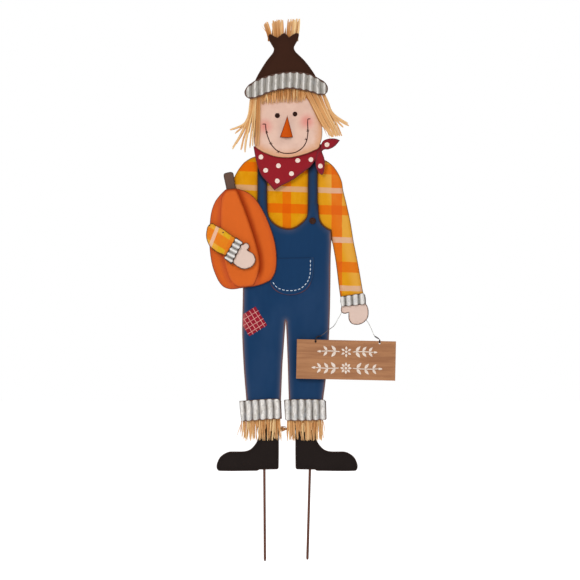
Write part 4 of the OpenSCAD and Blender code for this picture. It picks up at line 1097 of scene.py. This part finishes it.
# dark back ribbons stand in for the shade between the bunches: painted shade
dark = (-0.6, -0.1)
spread(s, [(-66, 743), (-68, 712), (-72, 684), (-76, 660)], 5, 4.0, 3.0, 8, -20.3, -20.7, dark)
spread(s, [(-58, 743), (-60, 712), (-62, 684), (-62, 655)], 4, 3.6, 2.5, 6, -20.3, -20.7, dark)
spread(s, [(-69, 743), (-71.5, 716), (-75, 693), (-84, 680), (-98, 673), (-112, 668)], 4, 4.6, 0.9, 4, tints=(0.5, 1.0))
spread(s, [(-68, 743), (-71, 712), (-77, 690), (-90, 672), (-103, 661)], 3, 3.6, 1.1, 7, tints=(0.2, 0.8))
spread(s, [(-69, 743), (-72.5, 712), (-78, 688), (-92, 657), (-108, 631)], 4, 3.8, 1.1, 8)
spread(s, [(-67, 743), (-71, 712), (-77, 684), (-90, 657), (-99, 641)], 3, 3.6, 1.2, 8)
spread(s, [(-66, 743), (-70, 712), (-76, 680), (-85, 652), (-90, 629)], 4, 4.2, 1.1, 6)
spread(s, [(-64, 743), (-68, 712), (-75, 676), (-81, 646), (-83, 624)], 4, 4.0, 1.1, 6)
spread(s, [(-63, 743), (-65, 712), (-68, 680), (-71, 654), (-73, 633)], 3, 3.4, 0.9, 6)
spread(s, [(-60, 743), (-62, 712), (-64, 680), (-66, 655), (-67, 637)], 3, 3.4, 0.9, 5)
spread(s, [(-57, 743), (-58, 712), (-59, 680), (-60, 655), (-61, 638)], 4, 3.6, 0.8, 4)
spread(s, [(-54, 743), (-54.5, 712), (-54.8, 680), (-56, 655), (-57, 637)], 4, 3.4, 0.6, 4)
s.done("straw_left", "hair_left")

# right side
s = Strands(103)
r = s.r
for i in range(11):
    k = (i + r.random()) / 11
    spread(s, [(34 + 34 * k, 743), (52 + 28 * k, 708 + 5 * k), (68 + 24 * k, 677 + 13 * k), (78 + 22 * k, 664 + 9 * k), (85 + 22 * k, 654 + 3 * k)],
           3, 3.8, 1.1, 5)
# dark back ribbons stand in for the shade between the bunches: painted shade
for i in range(7):
    k = i / 6
    spread(s, [(36 + 32 * k, 743), (54 + 26 * k, 708 + 5 * k), (69 + 22 * k, 678 + 13 * k), (79 + 18 * k, 668 + 9 * k)], 2, 3.6, 2.0, 8, -20.5, -20.9, dark)
spread(s, [(70, 743), (79, 722), (86, 704), (103, 690), (118.5, 681)], 3, 4.6, 0.8, 3, tints=(0.5, 1.0))
spread(s, [(69, 743), (78, 720), (86, 701), (104, 686), (120.5, 676.5)], 3, 4.4, 0.8, 3, tints=(0.6, 1.0))
spread(s, [(68, 743), (78, 716), (88, 698), (100, 683), (110.5, 673)], 3, 3.8, 0.9, 4, tints=(0.3, 0.9))
for tip, x0 in (((79, 655), 33), ((76, 661), 30), ((84, 651), 38)):
    s.strand((x0, -21.0, 743), (tip[0], -21.2, tip[1]), -3.5, 1.7, tint=-0.2, jit=0.3)
s.done("straw_right", "hair_right")

# tuft on the hat, in three bunches
s = Strands(104)
r = s.r
for b0, b1, t0, t1, z0, z1, n in ((-37, -31, -46, -39, 878, 881, 8), (-26.5, -7, -30, -8, 884, 886, 18), (-1, 21, 1, 26, 886, 887, 19)):
    for i in range(n):
        k = (i + r.uniform(0.1, 0.9)) / n
        x0, x1 = b0 + (b1 - b0) * k, t0 + (t1 - t0) * k
        tz = z0 + (z1 - z0) * k - abs(r.gauss(0, 3.0))
        yy = r.uniform(-18.6, -16.4)
        s.blade([np.array((x0, yy, 842.0)), np.array((x0, yy, 850.0)), np.array((x0 + (x1 - x0) * 0.5 + r.uniform(-1, 1), yy, 866.0)),
                 np.array((x1 + r.uniform(-1, 1), yy, tz))], r.uniform(2.6, 4.2), r.uniform(0.0, 1.0), spin=r.uniform(-0.5, 0.5),
                thick=r.uniform(0.2, 0.35), fold=0.22, blunt=True)
for i in range(9):
    x0 = -34 + 6 * i + r.uniform(-1, 1)
    s.blade([np.array((x0, -16.5, 842.0)), np.array((x0 - 0.5, -16.5, 856.0)), np.array((x0 - 1 + i * 0.3, -16.5, 866 + r.uniform(0, 5)))], 3.4, -0.4,
            spin=0, thick=0.3, fold=0.2)
s.blade([np.array((-34.0, -17.5, 843)), np.array((-39, -17.5, 858)), np.array((-50, -17.5, 872))], 1.6, 0.7, thick=0.3, fold=0.2)
s.done("straw_tuft", "hat_tuft")

# skirts below the trouser cuffs: pointed bunches with gaps between them
for side, x_lo, x_hi, node, seed in ((-1, -90, -13, "raffia_skirt_left", 105), (1, -1, 70, "raffia_skirt_right", 106)):
    s = Strands(seed)
    r = s.r
    gaps = (-59, -42, -30) if side < 0 else (25, 34, 49)
    n = 84
    for i in range(n):
        x0 = x_lo + 1 + (x_hi - x_lo - 2) * (i + r.random()) / n
        near = min(abs(x0 - q) for q in gaps)
        tx = min(max(x0 + r.gauss(0, 2.6), x_lo - 3), x_hi + 2)
        tz = 58.5 + abs(r.gauss(0, 4.5))
        if near < 2.0:
            tz = r.uniform(74, 92)
        if x0 < -78:
            tz += 0.9 * (-78 - x0)
        yy = r.uniform(-9.4, -6.8)
        s.blade([np.array((x0, yy, 112.0)), np.array((x0 + (tx - x0) * 0.3 + r.uniform(-1, 1), yy, 95.0)),
                 np.array((x0 + (tx - x0) * 0.7 + r.uniform(-1, 1), yy + r.uniform(-0.2, 0.2), 76.0 if tz < 72 else tz + 8)), np.array((tx, yy, tz))],
                r.uniform(1.7, 2.9), r.choice((0.0, 0.3, 0.45, 0.6, 0.75, 0.95)) + r.uniform(-0.08, 0.08), spin=r.uniform(-0.5, 0.5),
                thick=r.uniform(0.2, 0.35), fold=0.22, blunt=i % 3 > 0)
    for i in range(30):
        x0 = x_lo + 2 + (x_hi - x_lo - 4) * (i + r.random()) / 30
        yy = r.uniform(-6.6, -5.9)
        s.strand((x0, yy, 112), (x0 + r.uniform(-3, 3), yy, r.uniform(72, 92)), r.uniform(-1.5, 1.5), r.uniform(2.2, 3.0), tint=r.uniform(-0.6, 0.0))
    if side < 0:
        for tx, tz in ((-101, 62), (-98, 72), (-93.5, 66), (-91, 72)):
            s.blade([np.array((-85.0, -7.5, 110)), np.array((-89, -7.7, 96)), np.array((tx, -7.6, tz))], 1.3, 0.5, thick=0.3, fold=0.2)
        # a knot caught on the brace
        for i in range(12):
            a0 = r.uniform(0, 6.28)
            cx, cz, rr = -9 + r.uniform(-2.5, 2.5), 83 + r.uniform(-2.5, 2.5), r.uniform(2.0, 4.5)
            yy = r.uniform(-8.8, -6.4)
            q = [np.array((cx + rr * 1.2 * math.cos(a0 + t), yy + 0.4 * math.sin(t * 2), cz + rr * math.sin(a0 + t))) for t in np.linspace(0, 4.2, 7)]
            s.blade(q, 1.3, -0.5 if i % 2 else 0.2, thick=0.3, fold=0.2)
    else:
        s.blade([np.array((66.0, -7.5, 110)), np.array((71, -7.8, 96)), np.array((73, -7.6, 82)), np.array((71, -7.6, 70))], 1.3, 0.6, thick=0.3, fold=0.2)
    s.done("straw_skirt_l" if side < 0 else "straw_skirt_r", node)

# ------------------------------------------------------------------ nose, eyes, button
# folded cone: apex at the top, base bulging forward
rows, cols = 22, 17
vs, fs, ed = [], [], []
for i in range(rows + 1):
    k = i / rows
    z = 696.5 + (654.0 - 696.5) * k
    xl, xr = 0.5 + (-14.2 - 0.5) * k, 0.5 + (11.6 - 0.5) * k
    for j in range(cols + 1):
        t = j / cols
        x = xl + (xr - xl) * t
        q = math.sin(math.pi * t)
        y = -19.1 - (0.35 + 5.2 * k) * q ** 0.8
        zz = z - 1.1 * q * k
        vs.append((x, y, zz))
        ed.append(min(min(t, 1 - t) * (xr - xl), (1 - k) * 42.5 if k > 0.5 else 99))
for i in range(rows):
    for j in range(cols):
        a = i * (cols + 1) + j
        fs.append([a, a + cols + 1, a + cols + 2, a + 1])
o = make("nose_cone", vs, fs, [M["nose"], M["nose"]], "figure", ("nose",), {"edge": ed}, 40)
thicken(o, 0.6, 0)


def lathe(profile, at, n=40):
    """Solid turned about an axis that points to the front: profile of (radius, forward) from the rim to the centre."""
    vs, fs = [], []
    for (rr, f) in profile:
        for k in range(n):
            a = 2 * math.pi * k / n
            vs.append((at[0] + rr * math.cos(a), at[1] - f, at[2] + rr * math.sin(a)))
    m = len(profile)
    for i in range(m - 1):
        for k in range(n):
            l = (k + 1) % n
            fs.append([i * n + k, i * n + l, (i + 1) * n + l, (i + 1) * n + k])
    fs.append([(m - 1) * n + k for k in range(n)])
    fs.append([k for k in range(n - 1, -1, -1)])
    return vs, fs


vs, fs = [], []
for cx, cz, rr in ((-19, 696.5, 5.0), (15.5, 699.5, 4.7)):
    prof = [(rr * math.cos(a), 1.9 * math.sin(a)) for a in np.linspace(0, math.pi / 2 * 0.98, 12)]
    v, f = lathe([(rr, -0.2)] + prof, (cx, float(SURF["head"](cx, cz)[0]), cz))
    b = len(vs)
    vs += v
    fs += [[i + b for i in q] for q in f]
make("eye_beads", vs, fs, [M["eye"]], "figure", ("eyes",), None, 60)

# button with a raised rim and two sewing holes
v, f = lathe([(6.5, -0.1), (6.5, 1.5), (6.2, 2.1), (5.6, 2.4), (5.0, 2.2), (4.7, 1.7), (4.2, 1.4), (0.4, 1.4)], (50, -10, 490.5))
make("button_disc", v, f, [M["button"]], "figure", ("strap_button",), None, 40)
v, f = [], []
for sx in (-1.8, 1.8):
    a, b = lathe([(0.75, -0.2), (0.75, 0.08), (0.2, 0.1)], (50 + sx, -11.45, 490.5), 16)
    f += [[i + len(v) for i in q] for q in b]
    v += a
make("button_holes", v, f, [M["eye"]], "figure", (), None, 40)

# ------------------------------------------------------------------ painted details
head = SURF["head"]
smile = smooth_path([(-42, 679), (-42, 676), (-40.5, 664.5), (-37, 653), (-33, 643.5), (-28, 636), (-21, 629), (-13.5, 625),
                     (-5.5, 622.8), (2.6, 622.5), (12.5, 623.5), (20.5, 626.5), (28.5, 632), (34, 638.5), (38, 646.5), (40, 656.5),
                     (40.8, 666), (40.3, 677.5), (40.2, 687)], 6)
lines = [stroke(smile, 2.0), stroke([(-48.5, 679.6), (-45, 680), (-42, 679.6), (-41.6, 677.5)], 2.0), stroke([(40.2, 685), (40.5, 689.3), (42.8, 690.2), (46, 690)], 2.0)]
for cx, cz, a in ((-39.9, 663.7, 20), (-31.8, 641.8, 35), (-17.7, 625.9, 70), (40.7, 666.9, -8), (37.4, 649.9, -28)):
    for t in (40, -40):
        ang = math.radians(a + 0 + t)
        dx, dz = 3.3 * math.cos(ang), 3.3 * math.sin(ang)
        lines.append(stroke([(cx - dx, cz - dz), (cx + dx, cz + dz)], 1.25, 0.8))
slab("smile_line", lines, head, 0.14, M["line"])

dots = [(-51.2, 615.6, "bandana"), (-16.9, 598.4, "bandana"), (-42, 589.5, "bandana"), (-19.3, 568.6, "bandana"), (8.6, 583, "bandana"),
        (20.9, 608.8, "bandana"), (46.8, 610.6, "bandana"), (65.2, 597.8, "tail_lower"), (78.1, 639.7, "tail_upper")]
for key in ("bandana", "tail_lower", "tail_upper"):
    ps = [ellipse(x, z, 4.7, 4.6, 0, 28, 0.03, int(abs(x) * 7)) for x, z, k in dots if k == key]
    slab("dots_" + key, ps, SURF[key], 0.16, M["dot"], grid=3)

# dashes sewn round the pocket
way = smooth_path([(45.7, 415), (45.7, 400), (45, 386.5), (42, 375.3), (35.2, 365.2), (25.1, 357.3), (13.8, 354.2), (0.3, 354),
                   (-11, 356.1), (-20, 360.6), (-26.7, 368.5), (-30, 376.4)], 10)
seg = np.concatenate([[0], np.cumsum(np.linalg.norm(np.diff(way, axis=0), axis=1))])
ps = []
t = 1.0
while t < seg[-1] - 4:
    q = [(float(np.interp(a, seg, way[:, 0])), float(np.interp(a, seg, way[:, 1]))) for a in np.linspace(t, t + 5.1, 5)]
    ps.append(stroke(q, 1.35, 1.0, 0.4))
    t += 7.9
slab("pocket_stitches", ps, SURF["pocket"], 0.2, M["thread"])

# gingham patch on the leg, cut off at the trouser's edge
PA = math.radians(32)
PC = np.array((-69.05, 293.5))
PU, PV = np.array((math.cos(PA), math.sin(PA))), np.array((-math.sin(PA), math.cos(PA)))
LIM = -86.9
ring = [PC + PU * a + PV * b for a, b in ((-19.5, -22), (21.3, -22), (21.3, 21), (-19.5, 21))]
full = np.array([ring[i] + (ring[(i + 1) % 4] - ring[i]) * k / 16 for i in range(4) for k in range(16)])
full[:, 0] = np.maximum(full[:, 0], LIM)
keep = [0]
for i in range(1, len(full)):
    if np.linalg.norm(full[i] - full[keep[-1]]) > 0.3:
        keep.append(i)
slab("leg_patch", [full[keep]], SURF["overalls"], 0.22, M["patch"], grid=3)
ps = []
for a, b, la, lb, offs in ((PU, PV, 21, 22, (-16.5, -7.2, 1.9, 11.4)), (PV, PU, 23.4, 20.8, (-11.0, -2.2, 6.5, 15.5))):
    for off in offs:
        t = np.linspace(-la, lb, 40)
        way = PC + a * t[:, None] + b * off
        way[:, 0] += 0.4 * np.sin(t * 0.11 + off)
        way = way[way[:, 0] > LIM + 0.6]
        if len(way) > 4:
            ps.append(stroke(way, 1.0, 1.5, 0.4))
slab("leg_patch_lines", ps, SURF["overalls"], 0.36, M["patch_line"])

# ------------------------------------------------------------------ sign
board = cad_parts["sign_board"]
board.data.materials.clear()
board.data.materials.append(M["wood"])
bv = board.modifiers.new("eased", "BEVEL")
bv.width = 0.0007
bv.segments = 2
bv.limit_method = "ANGLE"
bv.angle_limit = math.radians(50)

SX, SZ, SR = 115.5, 218.0, math.radians(1.28)


def on_board(u, v):
    return SX + u * math.cos(SR) + v * math.sin(SR), SZ - u * math.sin(SR) + v * math.cos(SR)


def board_poly(pts):
    return np.array([on_board(a, b) for a, b in pts])


def leaf(u, v, L, W, ang, n=9):
    """Grain of wheat: a pointed oval that starts at u,v."""
    ca, sa = math.cos(math.radians(ang)), math.sin(math.radians(ang))
    top = [(L * k / n, W / 2 * math.sin(math.pi * (k / n) ** 0.8)) for k in range(n + 1)]
    bot = [(L * k / n, -W / 2 * math.sin(math.pi * (k / n) ** 0.8)) for k in range(n - 1, 0, -1)]
    return board_poly([(u + a * ca - b * sa, v + a * sa + b * ca) for a, b in top + bot])


def sprig(cv, lo, hi, gap, L, W, pitch, polys, arch):
    """A leafy twig to either side of the middle: a stem with pairs of separate pointed leaves."""
    for sgn, reach in ((-1, -lo), (1, hi)):
        def at(t):
            return sgn * (gap + (reach - gap) * t), cv + arch * math.sin(math.pi * t)
        polys.append(stroke(board_poly([at(k / 14) for k in range(15)]), 1.7, 1.0, 0.5))
        n = max(2, int((reach - gap - 6) / pitch))
        for i in range(n):
            u, v = at((i + 0.45) / (n + 0.25))
            k = 1 - 0.28 * i / n
            for up in (1, -1):
                ang = up * 50
                if sgn < 0:
                    ang = 180 - ang
                polys.append(leaf(u + sgn * 0.8, v + up * 1.2, L * k, W * k, ang))
        u, v = at(1.0)
        polys.append(leaf(u - sgn * 2, v, L * 0.72, W * 0.72, 0 if sgn > 0 else 180))


def flower(cu, cv, size, petals, polys):
    polys.append(np.array([on_board(*q) for q in ellipse(cu, cv, size * 0.22, size * 0.22, 0, 20, 0.02, 5)]))
    for i in range(petals):
        an = math.radians(360 / petals * i + 90)
        polys.append(leaf(cu + size * 0.34 * math.cos(an), cv + size * 0.34 * math.sin(an), size * 0.62, size * 0.36, 360 / petals * i + 90))


motif = []
sprig(16, -50, 54, 12.5, 13.0, 5.8, 10.8, motif, 1.0)
flower(0, 16, 11.5, 6, motif)
sprig(-16, -60, 64, 13.5, 13.6, 6.0, 11.6, motif, -1.0)
flower(0, -16, 12.0, 8, motif)


def board_face(x, z):
    return np.full(len(np.atleast_1d(x)), -20.0)


slab("sign_motif", motif, board_face, 0.18, M["white"], body="sign", sink=0.02)


# ------------------------------------------------------------------ bail wire
def tube(path, r, sides=12):
    p = np.asarray(path, float)
    n = len(p)
    d = [unit(p[min(i + 1, n - 1)] - p[max(i - 1, 0)]) for i in range(n)]
    v = unit(np.cross(d[0], np.array([0, 1, 0.3])))
    vs, fs = [], []
    for i in range(n):
        v = unit(v - np.dot(v, d[i]) * d[i])
        w = np.cross(d[i], v)
        for k in range(sides):
            a = 2 * math.pi * k / sides
            vs.append(p[i] + r * (math.cos(a) * v + math.sin(a) * w))
    for i in range(n - 1):
        for k in range(sides):
            l = (k + 1) % sides
            fs.append([i * sides + k, i * sides + l, (i + 1) * sides + l, (i + 1) * sides + k])
    fs.append([k for k in range(sides - 1, -1, -1)])
    fs.append([(n - 1) * sides + k for k in range(sides)])
    return vs, fs


WIRE = [(59, -18, 261.5), (57, -20.2, 260.5), (55.8, -20.9, 258), (55.8, -20.8, 255.5), (55.8, -19.5, 254), (55.8, -17, 253.7),
        (55.8, -14, 253.8), (55.8, -12.2, 255), (56, -11.7, 258), (57, -12, 261.5), (60, -13.4, 264.2), (67.5, -16, 266),
        (80, -14.5, 276), (92, -12.2, 285), (99, -8, 297), (105.5, -3.6, 308), (109.5, -2.9, 319), (112.4, -2.7, 329),
        (113.7, -2.7, 334.5), (114.4, -2.7, 336.5), (116, -2.7, 337.3), (117.6, -2.7, 336.6), (120, -2.7, 334.2), (128, -2.8, 326),
        (138, -2.9, 315.5), (148, -3, 304), (158, -3.4, 292.5), (164, -7, 281.5), (168, -12, 272), (171.5, -14.6, 264.5),
        (176, -13.4, 260.8), (180, -12, 259.5), (181.2, -11.7, 256.5), (181.3, -12.2, 252.8), (181.3, -14, 251.2), (181.3, -17, 251),
        (181.3, -19.5, 251.2), (181.3, -20.8, 252.8), (181.3, -20.9, 256), (180, -20.4, 259), (177, -18.5, 260.5)]
mid = smooth_path(WIRE, 5)
v, f = tube(mid, 0.6)
make("bail", v, f, [M["wire"]], "bail", ("hanger_wire",), None, 60)


def wrap(a, b, turns, r, wire):
    """Wire end wound round the bail between two points on it."""
    a, b = np.array(a, float), np.array(b, float)
    d = unit(b - a)
    s1 = unit(np.cross(d, np.array([0, 1.0, 0.1])))
    s2 = np.cross(d, s1)
    n = int(turns * 14)
    return tube([a + (b - a) * k / n + r * (math.cos(2 * math.pi * turns * k / n) * s1 + math.sin(2 * math.pi * turns * k / n) * s2)
                 for k in range(n + 1)], wire, 8)


v, f = [], []
for a, b, turns in (((59.5, -12.9, 263.6), (66.5, -15.6, 265.8), 4.5), ((179.0, -12.3, 259.9), (172.2, -14.5, 264.0), 5.5)):
    p, q = wrap(a, b, turns, 1.05, 0.45)
    f += [[i + len(v) for i in k] for k in q]
    v += p
# the wire goes through each hole more than once
for cx, zb, zt in ((55.8, 253.9, 259.5), (181.3, 251.2, 257.5)):
    for dx in (-0.95, 0.95):
        loop = smooth_path([(cx + dx, -20.8, zt), (cx + dx, -20.9, zb + 1.6), (cx + dx, -19.6, zb), (cx + dx, -16, zb - 0.2), (cx + dx, -12.6, zb),
                            (cx + dx, -11.7, zb + 1.8), (cx + dx * 0.6, -11.9, zt)], 4)
        p, q = tube(loop, 0.5, 8)
        f += [[i + len(v) for i in k] for k in q]
        v += p
make("bail_twists", v, f, [M["wire_dark"]], "bail", (), None, 60)

# ------------------------------------------------------------------ CAD pieces that stay
for name in ("stake_left", "stake_right", "leg_brace"):
    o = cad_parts[name]
    o.data.materials.clear()
    o.data.materials.append(M["stake"])
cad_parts["forearm_rivets"].data.materials.clear()
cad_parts["forearm_rivets"].data.materials.append(M["rivet"])
for name in ("neck_strap", "spacers", "rivets", "hand_hook", "socket_left", "socket_right", "thumbscrew_left", "thumbscrew_right"):
    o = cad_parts[name]
    o.data.materials.clear()
    o.data.materials.append(M["zinc"])

# ------------------------------------------------------------------ floor
fm = G("floor")
n1 = fm.noise(400, 3, 0.5)
fc = fm.mix(fm.step(n1, 0.2, 0.8), (0.90, 0.90, 0.90, 1), (0.92, 0.92, 0.92, 1))
fm.done(fc, 0.9, spec=0.0)
fm.bsdf.inputs["Emission Color"].default_value = (1, 1, 1, 1)
lp = fm.t.nodes.new("ShaderNodeLightPath")
fm.t.links.new(fm.mul(lp.outputs["Is Camera Ray"], 0.62), fm.bsdf.inputs["Emission Strength"])
me = bpy.data.meshes.new("floor")
me.from_pydata([(-9, -9, -0.1782), (9, -9, -0.1782), (9, 9, -0.1782), (-9, 9, -0.1782)], [], [[0, 1, 2, 3]])
me.materials.append(fm.mat)
floor = bpy.data.objects.new("floor", me)
S.collection.objects.link(floor)

bpy.context.view_layer.update()
